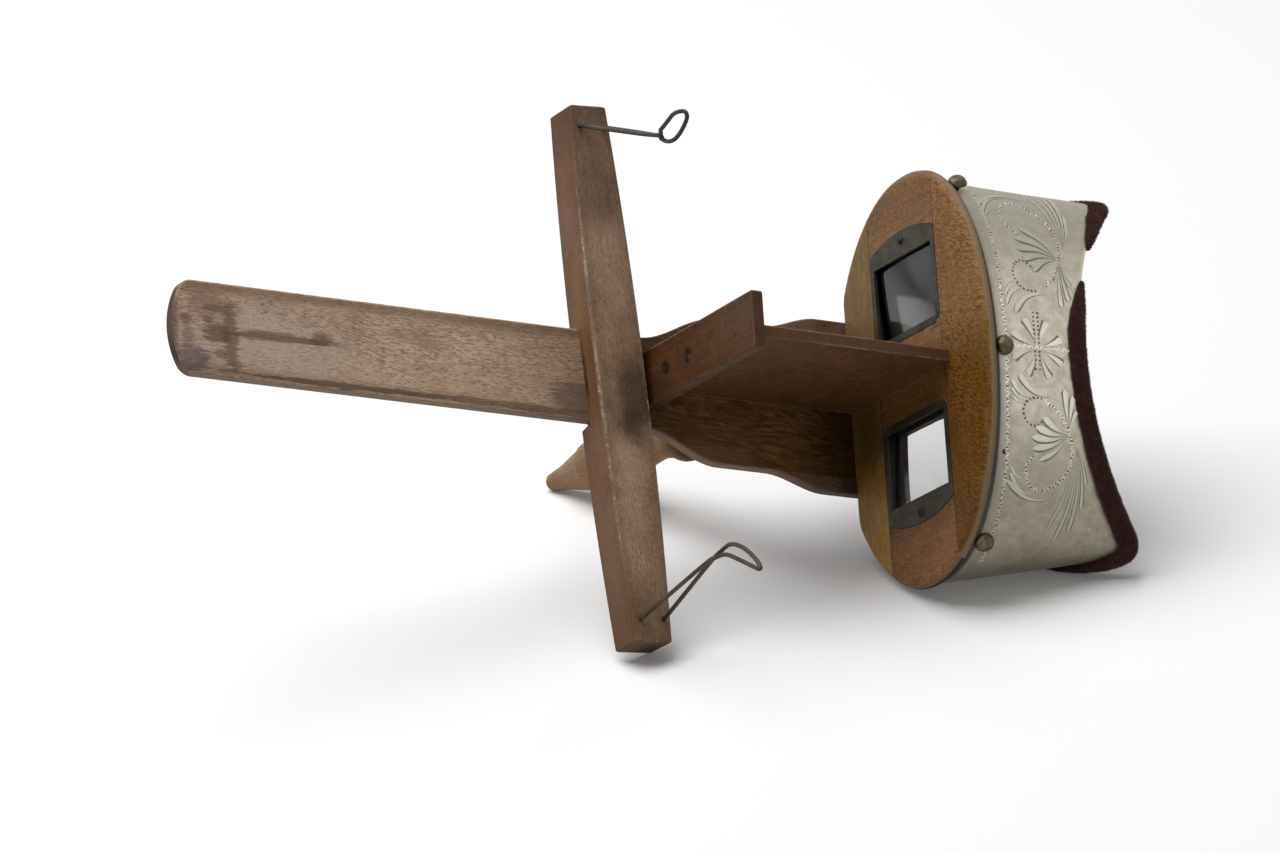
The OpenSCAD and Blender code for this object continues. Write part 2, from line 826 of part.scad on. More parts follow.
module handle_bracket() {
    color("#57544c")
    difference() {
        union() {
            translate([0, pivot_y, -base_t - cheek_t]) linear_extrude(cheek_t) {
                square([2 * cheek_out, 2 * (bracket_half - cheek_out)], center = true);
                for (side = [-1, 1])
                    translate([0, side * (bracket_half - cheek_out)]) circle(r = cheek_out);
            }
            for (side = [-1, 1])
                translate([side * (cheek_in + cheek_t / 2), pivot_y, pivot_z])
                    rotate([90, 0, 90]) linear_extrude(cheek_t, center = true) {
                        circle(r = cheek_r);
                        polygon([
                            [-cheek_r, 0], [cheek_r, 0], [cheek_r + 2, pivot_drop - cheek_t / 2],
                            [-cheek_r - 2, pivot_drop - cheek_t / 2]
                        ]);
                    }
        }
        translate([-20, pivot_y, pivot_z]) rotate([0, 90, 0])
            cylinder(d = pivot_d + 2 * 0.02, h = 40);
        bracket_screw_places() screw_hole(round_head, screw_d, bracket_screw_len, true);
    }
}

module bracket_screws() {
    color("#4a4640")
    bracket_screw_places() screw(round_head, screw_d, bracket_screw_len, true);
}

module handle_pivot() {
    dome_r = pivot_d * 0.95;
    dome_h = pivot_d * 0.4;
    color("#6a665c")
    translate([0, pivot_y, pivot_z]) rotate([0, 90, 0]) {
        cylinder(d = pivot_d, h = 2 * cheek_out, center = true);
        for (side = [0, 1]) mirror([0, 0, side])
            translate([0, 0, cheek_out]) rotate_extrude()
                polygon(concat([[0, 0]], [for (a = [0:10:90]) [dome_r * cos(a), dome_h * sin(a)]]));
    }
}

// Radius of the turned handle against the distance from the pivot
cap_s = 11;
collar_s = 24;
bead_r = 5.2;
grip_s = 62;
tip_s = handle_len - tip_r;
handle_neck = spline([
    [collar_s + bead_r + 1.2, neck_r + 1], [collar_s + bead_r + 5, neck_r + 0.1],
    [collar_s + 14, neck_r], [grip_s - grip_band / 2 - 13, neck_r + 1],
    [grip_s - grip_band / 2 - 5.5, grip_r - 0.7], [grip_s - grip_band / 2, grip_r]
], 4);
handle_taper = spline([
    [grip_s + grip_band / 2, grip_r], [grip_s + grip_band / 2 + 5, grip_r - 0.45],
    [tip_s - 18, grip_r - 1.8], [tip_s - 12, tip_r + 2.8],
    [tip_s - 6, tip_r + 1.1], [tip_s + tip_r * 0.34, tip_r * 0.94]
], 4);
handle_profile = concat(
    [[cap_s, 0], [cap_s, collar_r - 2.9], [collar_s - bead_r - 1.2, collar_r - 2.1]],
    [
        for (a = [150:-15:30])
            [collar_s + bead_r * cos(a), collar_r - bead_r + bead_r * sin(a)]
    ],
    handle_neck,
    handle_taper,
    [for (a = [60:-10:0]) [tip_s + tip_r * cos(a), tip_r * sin(a)]]
);

module handle_blank() {
    rotate([180, 0, 0]) rotate_extrude($fn = 96)
        polygon([for (p = handle_profile) [p.y, p.x]]);
    rotate([90, 0, 90]) linear_extrude(tongue_t, center = true) {
        circle(r = cheek_r);
        translate([-cheek_r, -cap_s - 1]) square([2 * cheek_r, cap_s + 1]);
    }
}

module handle() {
    color("#a5865c")
    translate([0, pivot_y, pivot_z]) rotate([handle_lean, 0, 0]) difference() {
        handle_blank();
        rotate([0, 90, 0]) cylinder(d = pivot_d + 0.1, h = 20, center = true);
    }
}

// Laying the instrument down: it rests on a lower corner of the crossbar, the tip of the
// handle and the velvet at one temple, so the floor is the plane that touches all three

rest_corner = at_holder([
    -cross_half_len + bevel, bevel - cross_half_t(cross_half_len - bevel), -cross_drop
]);
rest_tip = [0, pivot_y + tip_s * sin(handle_lean), pivot_z - tip_s * cos(handle_lean)];

// Direction that is up when the corner, the tip's ball and a ball at q touch the floor
function floor_up(q, r) =
    let (
        a = rest_tip - rest_corner, b = q - rest_corner,
        m = unit(cross(a, b)),
        flat = (tip_r * cross(b, m) + r * cross(m, a)) / (a * cross(b, m)),
        up = flat + sqrt(1 - flat * flat) * (m.x > 0 ? m : -m)
    )
    up;
// Angle at which the velvet is lowest for a given up direction
function lowest_velvet(up) =
    let (
        angles = [180:1:215],
        h = [for (a = angles) min([for (p = velvet_ring(a)) p * up])]
    )
    180 + search(min(h), h)[0];
function velvet_up(a) = floor_up(rim_mid(a), velvet_out(a));
up_dir = velvet_up(lowest_velvet(velvet_up(lowest_velvet(velvet_up(196)))));
x_dir = -unit([0, 1, 0] - up_dir.y * up_dir);
y_dir = cross(up_dir, x_dir);

// Points that bound the instrument, for the middle of its plan
bound_points = concat(
    [for (p = bar_outline(0)) [p.x, p.y, -bevel]],
    [for (p = bar_outline(0)) [p.x, p.y, bevel - bar_t]],
    [for (a = [-40:2:220]) each velvet_ring(a)],
    [
        for (x = [-1, 1], y = [-1, 1], z = [-cross_drop, cross_up])
            at_holder([x * cross_half_len, y * (cross_end_t / 2 - bevel), z])
    ],
    [for (p = right_path) at_holder(p)],
    [rest_tip + tip_r * y_dir],
    [for (p = left_path) at_holder([-p.x, p.y, p.z])]
);
function middle(dir) = let (d = [for (p = bound_points) p * dir]) (min(d) + max(d)) / 2;

module lay() {
    multmatrix([
        [x_dir.x, x_dir.y, x_dir.z, -middle(x_dir)],
        [y_dir.x, y_dir.y, y_dir.z, -middle(y_dir)],
        [up_dir.x, up_dir.y, up_dir.z, -rest_corner * up_dir],
        [0, 0, 0, 1]
    ]) children();
}

lay() slide_bar();
lay() base_board();
lay() lower_rail();
lay() lens_panel();
lay() upper_rail();
lay() septum();
lay() septum_plate();
lay() plate_screws();
lay() base_screws();
lay() lens_left();
lay() lens_right();
lay() lens_frame_left();
lay() lens_frame_right();
lay() frame_screws();
lay() hood();
lay() hood_nails();
lay() hood_velvet();
lay() crossbar();
lay() card_clip_left();
lay() card_clip_right();
lay() holder_spring();
lay() spring_screws();
lay() handle_bracket();
lay() bracket_screws();
lay() handle_pivot();
lay() handle();
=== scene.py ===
import json
from math import asin, cos, degrees, exp, log, pi, radians, sin, sqrt

import bpy
import bmesh
from mathutils import Matrix, Vector, noise


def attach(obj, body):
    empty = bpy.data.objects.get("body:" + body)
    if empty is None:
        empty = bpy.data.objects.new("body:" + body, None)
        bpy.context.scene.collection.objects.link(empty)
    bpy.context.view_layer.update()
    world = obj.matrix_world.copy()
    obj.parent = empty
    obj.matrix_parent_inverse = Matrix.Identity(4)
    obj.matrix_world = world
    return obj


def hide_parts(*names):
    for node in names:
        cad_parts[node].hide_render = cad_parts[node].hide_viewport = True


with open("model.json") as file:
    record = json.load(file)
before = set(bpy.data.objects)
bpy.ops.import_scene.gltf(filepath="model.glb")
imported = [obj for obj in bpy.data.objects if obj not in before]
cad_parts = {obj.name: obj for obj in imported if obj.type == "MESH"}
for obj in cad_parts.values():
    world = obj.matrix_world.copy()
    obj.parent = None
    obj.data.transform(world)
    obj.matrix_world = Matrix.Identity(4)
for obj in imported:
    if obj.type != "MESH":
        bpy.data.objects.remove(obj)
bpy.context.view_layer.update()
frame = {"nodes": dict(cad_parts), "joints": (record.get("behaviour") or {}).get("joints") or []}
scene = bpy.context.scene

# The instrument's own axes: across the lenses, along the bar, and upward, in millimetres
layout = {"pivotAlong": 36.8, "pivotDrop": 21.0, "handleLean": 11.8, "holderAt": 98.7, "holderTurn": 4}
joints = {joint["name"]: joint for joint in frame["joints"]}
across = Vector(joints["handle_fold"]["axis"]).normalized()
along = Vector(joints["holder_slide"]["axis"]).normalized()
upward = across.cross(along).normalized()
pivot = Vector(joints["handle_fold"]["pos_m"])
origin = pivot - (layout["pivotAlong"] * along - layout["pivotDrop"] * upward) / 1000
turn = Matrix((across, along, upward))
back = turn.transposed()


def place(point):
    return origin + back @ Vector(point) / 1000


def ease(t):
    t = min(1, max(0, t))
    return t * t * (3 - 2 * t)


# Seats: the frame in which a piece's pattern is laid out, as (rows, origin)
bodySeat = (turn, origin)
holderTurn = radians(layout["holderTurn"])
holderSeat = (
    Matrix((
        across * cos(holderTurn) + along * sin(holderTurn),
        along * cos(holderTurn) - across * sin(holderTurn),
        upward,
    )),
    place((0, layout["holderAt"], 0)),
)
lean = radians(layout["handleLean"])
handleSeat = (
    Matrix((across, along * cos(lean) + upward * sin(lean), upward * cos(lean) - along * sin(lean))),
    pivot,
)

print("frame loaded:", len(frame["nodes"]), "nodes")


# Node trees

def pair(operation):  # an operator and its reflected form
    return (
        lambda self, other: self.sum(operation, self, other),
        lambda self, other: self.sum(operation, other, self),
    )


class Wire:  # a socket that takes part in sums
    __add__, __radd__ = pair("ADD")
    __sub__, __rsub__ = pair("SUBTRACT")
    __mul__, __rmul__ = pair("MULTIPLY")
    __truediv__, __rtruediv__ = pair("DIVIDE")

    def __init__(self, tree, socket):
        self.tree = tree
        self.socket = socket

    def __neg__(self):
        return self * -1

    def sum(self, operation, *sides):
        isVector = any(isinstance(side, Wire) and side.socket.type == "VECTOR" for side in sides)
        if isVector:
            sides = [side if isinstance(side, (Wire, tuple)) else (side, side, side) for side in sides]
        kind = "ShaderNodeVectorMath" if isVector else "ShaderNodeMath"
        return self.tree.add(kind, {"operation": operation}, dict(enumerate(sides)))

    def size(self):
        return self.sum("ABSOLUTE", self)

    def least(self, other):
        return self.sum("MINIMUM", self, other)

    def most(self, other):
        return self.sum("MAXIMUM", self, other)

    def length(self):  # of a vector
        return self.sum("LENGTH", self).out("Value")

    def dot(self, way):
        return self.sum("DOT_PRODUCT", self, way).out("Value")

    def rise(self, low, high):  # 0 below low, 1 above high, smooth between
        return self.tree.add(
            "ShaderNodeMapRange", {"interpolation_type": "SMOOTHSTEP"},
            {"Value": self, "From Min": low, "From Max": high},
        )

    def out(self, name):
        return Wire(self.tree, self.socket.node.outputs[name])


class Tree:
    def __init__(self, group):
        self.group = group
        self.group.nodes.clear()

    def add(self, kind, settings=None, values=None, output=0):
        node = self.group.nodes.new(kind)
        for key, value in (settings or {}).items():
            if key == "stops":
                while len(node.color_ramp.elements) < len(value):
                    node.color_ramp.elements.new(1)
                for element, (position, colour) in zip(node.color_ramp.elements, value):
                    element.position = position
                    element.color = (*colour, 1)
            else:
                setattr(node, key, value)
        for key, value in (values or {}).items():
            socket = node.inputs[key]
            if isinstance(value, Wire):
                self.group.links.new(value.socket, socket)
            elif socket.type == "RGBA" and len(value) == 3:
                socket.default_value = (*value, 1)
            else:
                socket.default_value = value
        return Wire(self, node.outputs[output] if len(node.outputs) else None)

    def split(self, vector):
        first = self.add("ShaderNodeSeparateXYZ", values={0: vector})
        return first, first.out(1), first.out(2)

    def join(self, x, y, z):
        return self.add("ShaderNodeCombineXYZ", values={0: x, 1: y, 2: z})


class Paint(Tree):  # a material, built up tone by tone
    def __init__(self, name):
        self.material = bpy.data.materials.new(name)
        self.material.use_nodes = True
        super().__init__(self.material.node_tree)

    def seat(self, seat=bodySeat):  # object coordinates in millimetres on a seat
        rows, start = seat
        return self.add("ShaderNodeMapping", {"vector_type": "POINT"}, {
            "Vector": self.add("ShaderNodeTexCoord", output="Object"),
            "Scale": (1000, 1000, 1000),
            "Rotation": tuple(rows.to_euler("XYZ")),
            "Location": tuple(-(rows @ start) * 1000),
        })

    def normal(self, seat=bodySeat):  # which way the surface faces, on a seat
        return self.add("ShaderNodeMapping", {"vector_type": "POINT"}, {
            "Vector": self.add("ShaderNodeTexCoord", output="Normal"),
            "Rotation": tuple(seat[0].to_euler("XYZ")),
        })

    def noise(self, vector, scale, detail, rough, seed):
        return self.add("ShaderNodeTexNoise", {"noise_dimensions": "4D"}, {
            "Vector": vector, "W": float(seed), "Scale": scale, "Detail": detail, "Roughness": rough,
        })

    def mix(self, share, first, second, blend="MIX"):  # inputs 6 and 7 and output 2 are the node's colours
        return self.add("ShaderNodeMix", {"data_type": "RGBA", "blend_type": blend}, {
            0: share, 6: first, 7: second,
        }, output=2)

    def lay(self, share, tone, blend="MIX"):  # a tone over the colour so far
        self.colour = self.mix(share, self.colour, tone, blend)

    def ramp(self, value, stops):
        return self.add("ShaderNodeValToRGB", {"stops": stops}, {0: value})

    def bump(self, height, distance, strength):  # distance in millimetres
        return self.add("ShaderNodeBump", values={
            "Height": height, "Distance": distance / 1000, "Strength": strength,
        })

    def finish(self, **values):  # the colour so far, and sockets by camelCase name
        names = {
            "rough": "Roughness", "metal": "Metallic", "normal": "Normal", "specular": "Specular IOR Level",
            "sheen": "Sheen Weight", "sheenRough": "Sheen Roughness", "sheenTint": "Sheen Tint",
            "clear": "Transmission Weight", "ior": "IOR",
        }
        sockets = {names[key]: value for key, value in values.items()}
        surface = self.add("ShaderNodeBsdfPrincipled", values={"Base Color": self.colour, **sockets})
        self.add("ShaderNodeOutputMaterial", values={0: surface})
        return self.material


def paintNode(name, material):
    for slot in frame["nodes"][name].material_slots:
        slot.material = material


# Woods

class Wood(Paint):  # a board's finish, laid on layer by layer from its look
    def __init__(self, name, look):
        super().__init__(name)
        self.look = look
        self.seed = look["seed"]
        self.seatUsed = look.get("seat", bodySeat)
        self.at = self.seat(self.seatUsed)
        self.places = self.split(self.at)
        x, y, z = self.places
        self.run, side, deep = {"x": (x, y, z), "y": (y, x, z), "z": (z, x, y)}[look["grain"]]
        drift = self.noise(self.join(self.run * 0.012, side * 0.05, deep * 0.05), 1, 2, 0.5, self.seed)
        wander = (drift - 0.5) * look.get("wander", 8)
        self.bent = side + wander
        self.deepBent = deep + wander
        self.fibre = self.noise(self.inGrain(0.035, 1.0), 1, 6, 0.68, self.seed + 2)
        self.fine = self.noise(self.inGrain(0.3, 3.4), 1, 4, 0.7, self.seed + 3)
        self.pores = self.noise(self.inGrain(0.55, 5.0), 1, 1, 0.5, self.seed + 8).rise(0.6, 0.68)
        self.patch = self.cloud(look.get("patch", 0.05), 4, 0.6, 5)
        tone = self.fibre * look.get("fibre", 0.5) + self.fine * 0.35 + self.patch * look.get("cloud", 0.45)
        self.colour = self.ramp(tone - 0.15, [(0.22, look["dark"]), (0.5, look["mid"]), (0.8, look["light"])])

    def inGrain(self, runScale, crossScale):  # a place scaled along and across the grain
        return self.join(self.run * runScale, self.bent * crossScale, self.deepBent * crossScale)

    def cloud(self, scale, detail, rough, step):
        return self.noise(self.at, scale, detail, rough, self.seed + step)

    def boxEdge(self, low, high):  # distance from the nearest edge of a box
        a, b, c = [
            (spot - lowest).least(highest - spot).most(0)
            for spot, lowest, highest in zip(self.places, low, high)
        ]
        return a.least(b).most(a.most(b).least(c))

    def flecks(self, amount, length, width, slant, tone):  # short dark rays
        run, bent, deepBent = self.run, self.bent, self.deepBent
        cross = bent * 0.5 + deepBent if self.look["grain"] == "x" else bent + deepBent
        sway = self.cloud(0.35, 2, 0.5, 7)
        rays = self.join(
            (run + cross * slant) / length + sway * 1.2,
            (cross - run * slant) / width,
            (bent - deepBent) * 0.2,
        )
        fleck = self.noise(rays, 1, 2, 0.55, self.seed + 6)
        often = self.cloud(0.05, 2, 0.5, 9).rise(0.3, 0.6)
        self.lay(fleck.rise(0.43, 0.62) * (0.55 + often * 0.45) * amount, tone)
        self.lay((1 - fleck.rise(0.28, 0.44)) * amount * 0.4, self.look["light"])

    def curl(self, amount, spacing):  # figure across the grain
        wave = self.noise(self.inGrain(1 / spacing, 0.22), 1, 3, 0.6, self.seed + 10)
        self.lay(wave.rise(0.45, 0.7) * amount, self.look["light"])
        self.lay((1 - wave.rise(0.32, 0.5)) * amount, self.look["dark"])

    def face(self, way, tone, amount):  # a face turned one way gets its own tone: painted light and shade by the way it faces
        ragged = self.normal(self.seatUsed).dot(way) + (self.fine - 0.5) * 0.2
        self.lay(ragged.rise(0.55, 0.8) * amount, tone)

    def stain(self, blot, blend, centre, size, amount, tone):  # size: half lengths along and across the grain
        scale = tuple(1 / (size[0] if axis == self.look["grain"] else size[1]) for axis in "xyz")
        away = ((self.at - centre) * scale).length()
        ragged = away + (blot - 0.5) * 1.2 + (self.fibre - 0.5) * self.look.get("streaky", 0.4)
        self.lay((1 - ragged.rise(*self.look.get("soft", (0.35, 1.1)))) * amount, tone, blend)

    def wash(self, axis, low, high, tint, amount):  # darker or lighter along one way
        spread = self.places[axis] + (self.patch - 0.5) * (high - low) * 0.8
        self.lay(spread.rise(low, high) * amount, tint, "MULTIPLY")

    def glueLine(self, axis, spot, wide):
        line = 1 - (self.places[axis] - spot).size().rise(wide * 0.4, wide)
        self.lay(line * (0.55 + self.fine * 0.6).least(1), (0.006, 0.003, 0.001))

    def scuffedRim(self, amount, tone):  # the edge round the front, dark where it meets the hood
        out = -self.places[1]
        scuff = (out + (self.fine - 0.5) * 1.6 + (self.patch - 0.5) * 2).rise(0.6, 1.5)
        self.lay(scuff * amount * (0.4 + self.fine * 1.1).least(1), tone)
        # The near-black line where the rim meets the hood is painted shade in the gap
        self.lay((out + (self.fine - 0.5) * 0.4).rise(2.85, 3.15) * 0.9, (0.02, 0.013, 0.008))

    def blackWalls(self, low, high):  # nearly black walls inside an opening
        facing = self.split(self.normal(self.seatUsed))[1].size()
        inside = self.boxEdge(low, high).rise(0.0, 0.05)
        self.lay((1 - facing.rise(0.3, 0.7)) * inside * 0.95, (0.012, 0.009, 0.007))

    def wornEdges(self, low, high):  # rubbed corners, with grime beside them
        look = self.look
        edge = self.boxEdge(low, high)
        rub = self.cloud(0.07, 2, 0.5, 12).rise(0.4, 0.62)
        ragged = edge + (self.cloud(0.9, 4, 0.7, 13) - 0.5) * look.get("ragged", 1.6)
        wear = (1 - ragged.rise(0.0, look.get("wearWidth", 0.5))) * (0.25 + rub * 0.75)
        grime = edge.rise(0.3, 1.2) * (1 - edge.rise(1.4, 5.5))
        self.lay(grime * look.get("grime", 0.3) * self.patch, look["dark"])
        self.lay(wear * look.get("wear", 0.6), look["wearTone"])
        return wear

    def scratches(self):
        x, y, z = self.places
        lines = self.join(x * 0.9 + y * 0.3, y * 0.05 + z * 0.1, z * 1.1)
        scratch = self.noise(lines, 1, 2, 0.4, self.seed + 19).rise(0.71, 0.74)
        self.lay(scratch * 0.2, self.look["light"])
        return scratch


def wood(name, look):
    board = Wood(name, look)
    if "flecks" in look:
        board.flecks(*look["flecks"])
    if "curl" in look:
        board.curl(*look["curl"])
    board.lay(board.pores * look.get("pores", 0.45), look["dark"])
    for face in look.get("faces", []):
        board.face(*face)
    blot = board.cloud(0.16, 5, 0.65, 11)
    for key, blend in (("stains", "MIX"), ("shades", "MULTIPLY")):
        for spot in look.get(key, []):
            board.stain(blot, blend, *spot)
    for wash in look.get("washes", []):
        board.wash(*wash)
    for line in look.get("joints", []):
        board.glueLine(*line)
    if "rim" in look:
        board.scuffedRim(*look["rim"])
    if "inner" in look:
        board.blackWalls(*look["inner"])
    wear = board.wornEdges(*look["box"]) if "box" in look else None
    scratch = board.scratches()
    rough = (board.fine - 0.5) * 0.3 + look["rough"] + board.pores * 0.12
    height = board.fibre * 0.5 + board.fine * 0.45 - board.pores * 0.9 - scratch * 0.3
    if wear:
        height = height - wear * 0.8
    return board.finish(rough=rough, normal=board.bump(height, 0.11, 0.8), specular=0.16)


# Looks: three tones and the layers over them. A layer's values stand in the order that its method takes them
barLook = {
    "grain": "y", "dark": (0.13, 0.080, 0.050), "mid": (0.535, 0.367, 0.248),
    "light": (0.78, 0.595, 0.445), "fibre": 0.45, "cloud": 0.75, "pores": 0.9, "rough": 0.6, "seed": 3,
    "patch": 0.06, "flecks": (0.6, 2.6, 0.36, 0.03, (0.18, 0.11, 0.068)),
    # Faces: the end is darker as end grain and as painted shade; the -x side is darker as painted shade
    "faces": [((0, 1, 0), (0.03, 0.02, 0.014), 0.92), ((-1, 0, 0), (0.13, 0.09, 0.062), 0.8)],
    "washes": [
        (1, 150, 260, (0.86, 0.84, 0.86), 1.0), (1, 170, 88, (0.56, 0.50, 0.48), 1.0),
        (1, 262.5, 264.5, (0.55, 0.52, 0.48), 1.0),
    ],
    "box": ((-16.4, 80, -4.4), (16.4, 269, 0)), "wear": 0.35, "wearTone": (0.5, 0.41, 0.33), "grime": 1.1,
    "soft": (0.6, 1.1), "streaky": 2.6,
    "stains": [
        ((-3, 229, 0), (30, 12), 0.45, (0.60, 0.52, 0.46)), ((8, 252, 0), (8, 6), 0.5, (0.28, 0.19, 0.13)),
        ((-2, 244, 0), (3.5, 13), 0.75, (0.17, 0.105, 0.055)),
        ((-1.5, 249, 0), (6, 4), 0.75, (0.15, 0.09, 0.045)),
        ((-0.5, 227, 0), (24, 1.7), 0.8, (0.17, 0.105, 0.055)),
        ((1, 210, 0), (4.5, 3.2), 0.75, (0.16, 0.095, 0.045)),
        ((-12, 258, 0), (7, 6), 0.75, (0.13, 0.115, 0.115)),
        ((-14.6, 205, 0), (50, 1.2), 0.8, (0.11, 0.075, 0.05)),
        ((-14.2, 140, 0), (40, 1.6), 0.6, (0.14, 0.09, 0.06)),
        ((6, 172, 0), (12, 5), 0.4, (0.27, 0.185, 0.125)),
        ((-9, 112, 0), (12, 8), 0.7, (0.18, 0.13, 0.10)),
        ((12, 150, 0), (30, 3), 0.3, (0.30, 0.195, 0.12)),
        ((2.7, 260.5, 0), (2.5, 2), 0.6, (0.16, 0.10, 0.06)),
        ((3, 252.5, 0), (3, 1.4), 0.6, (0.15, 0.09, 0.05)),
        ((-8.3, 247.8, 0), (3, 2), 0.6, (0.17, 0.10, 0.055)),
        ((-12.1, 242.2, 0), (3.5, 1.6), 0.6, (0.14, 0.095, 0.06)),
        ((7.1, 250, 0), (4, 1.2), 0.6, (0.15, 0.10, 0.065)),
        ((-4, 260, 0), (3, 4), 0.5, (0.17, 0.13, 0.11)),
    ],
}
baseLook = {
    "grain": "y", "dark": (0.026, 0.012, 0.003), "mid": (0.19, 0.092, 0.031), "light": (0.48, 0.265, 0.11),
    "rough": 0.45, "seed": 11, "pores": 0.4, "wander": 12,
    "flecks": (0.7, 6.5, 0.72, 0.1, (0.030, 0.013, 0.004)),
    # The first wash darkens the base towards the lens board: painted shade
    "washes": [(1, 30, 0, (0.24, 0.22, 0.18), 1.0), (1, 60, 90, (0.55, 0.55, 0.58), 1.0)],
    "box": ((-26.6, -12, -4.8), (26.6, 96, 0)), "wear": 0.5, "ragged": 2.4, "wearTone": (0.3, 0.2, 0.13),
    # Faces: a painted sheen, pale grey-violet, on the -x side, and painted shade on the +x side
    "faces": [((-1, 0, 0), (0.24, 0.155, 0.12), 0.85), ((1, 0, 0), (0.13, 0.085, 0.058), 0.6)],
    "stains": [
        ((-25, 58, 0), (22, 7), 0.6, (0.24, 0.15, 0.085)),
        ((-20, 84, 0), (10, 6), 0.5, (0.22, 0.14, 0.08)),
    ],
}
boardJoints = [(2, 18.3, 0.3), (2, 59.0, 0.2)]
boardRim = (0.9, (0.22, 0.15, 0.09))
panelLook = {
    "grain": "z", "dark": (0.065, 0.026, 0.007), "mid": (0.20, 0.100, 0.034),
    "light": (0.31, 0.172, 0.072), "rough": 0.5, "seed": 21, "pores": 0.35,
    "inner": ((-60, -12.5, 19), (60, -0.3, 58)), "flecks": (0.75, 1.7, 0.6, 0.35, (0.085, 0.035, 0.009)),
    "wander": 5, "joints": boardJoints, "rim": boardRim,
    "washes": [
        # The first wash darkens the panel beside the septum on its -x side: a painted shadow of the septum
        (0, -3, -12, (0.62, 0.52, 0.28), 0.5), (0, 3, 12, (1.3, 1.4, 2.0), 0.6),
        (0, -46, -60, (1.5, 1.5, 1.6), 1.0), (0, 50, 62, (0.9, 0.86, 0.72), 1.0),
    ],
    "stains": [
        ((-42, 0, 40), (12, 9), 0.35, (0.10, 0.045, 0.016)),
        ((4, 0, 40), (20, 7), 0.35, (0.085, 0.04, 0.018)),
    ],
}
lowRailLook = {
    "grain": "x", "dark": (0.085, 0.040, 0.010), "mid": (0.20, 0.118, 0.038),
    "light": (0.29, 0.187, 0.075), "rough": 0.5, "seed": 25, "pores": 0.3,
    "flecks": (0.5, 4.0, 0.5, 0.0, (0.10, 0.050, 0.013)), "wander": 4, "joints": boardJoints,
    "rim": boardRim,
    "washes": [(0, -14, -34, (1.7, 1.5, 1.05), 1.0), (0, -34, -50, (1.3, 1.35, 1.35), 1.0)],
    # A painted shadow of the septum on the lower rail
    "stains": [((-15, 0, 10), (17, 11), 0.6, (0.045, 0.02, 0.002))],
}
highRailLook = {
    "grain": "x", "dark": (0.075, 0.027, 0.005), "mid": (0.26, 0.132, 0.036),
    "light": (0.40, 0.235, 0.085), "rough": 0.48, "seed": 27, "pores": 0.25,
    "flecks": (0.95, 0.7, 2.6, 0.45, (0.10, 0.040, 0.009)), "wander": 3, "joints": boardJoints,
    # The wash darkens the rail on the -x side of the septum: painted shade
    "rim": boardRim, "washes": [(0, 16, -4, (0.55, 0.48, 0.17), 1.0)],
}
septumLook = {
    "grain": "y", "dark": (0.026, 0.011, 0.004), "mid": (0.105, 0.047, 0.018),
    "light": (0.19, 0.098, 0.046), "rough": 0.42, "seed": 31, "curl": (0.3, 1.8),
    "flecks": (0.45, 4.5, 0.6, 0.05, (0.028, 0.012, 0.005)),
    # Faces: the top face is lighter, partly as wear and partly as painted light from above
    "faces": [((0, 0, 1), (0.12, 0.062, 0.026), 0.6)], "box": ((-2.15, -12, 0), (2.15, 81, 63)),
    "wear": 0.9, "wearTone": (0.3, 0.19, 0.13), "wearWidth": 0.7,
}
plateLook = {
    "grain": "z", "dark": (0.022, 0.008, 0.002), "mid": (0.078, 0.031, 0.011),
    "light": (0.15, 0.072, 0.034), "rough": 0.4, "seed": 35, "patch": 0.06, "curl": (0.2, 2.0),
    "flecks": (0.4, 2.5, 0.6, 0.1, (0.03, 0.012, 0.004)),
    "stains": [
        ((3, 85, 68), (8, 7), 0.3, (0.10, 0.07, 0.048)),
        ((-6, 85, 10), (12, 5), 0.5, (0.03, 0.014, 0.007)),
    ],
    "box": ((-10, 81, 0), (10, 85.8, 73.5)), "wear": 0.7, "ragged": 2.6, "wearWidth": 0.7,
    "wearTone": (0.15, 0.10, 0.068),
}
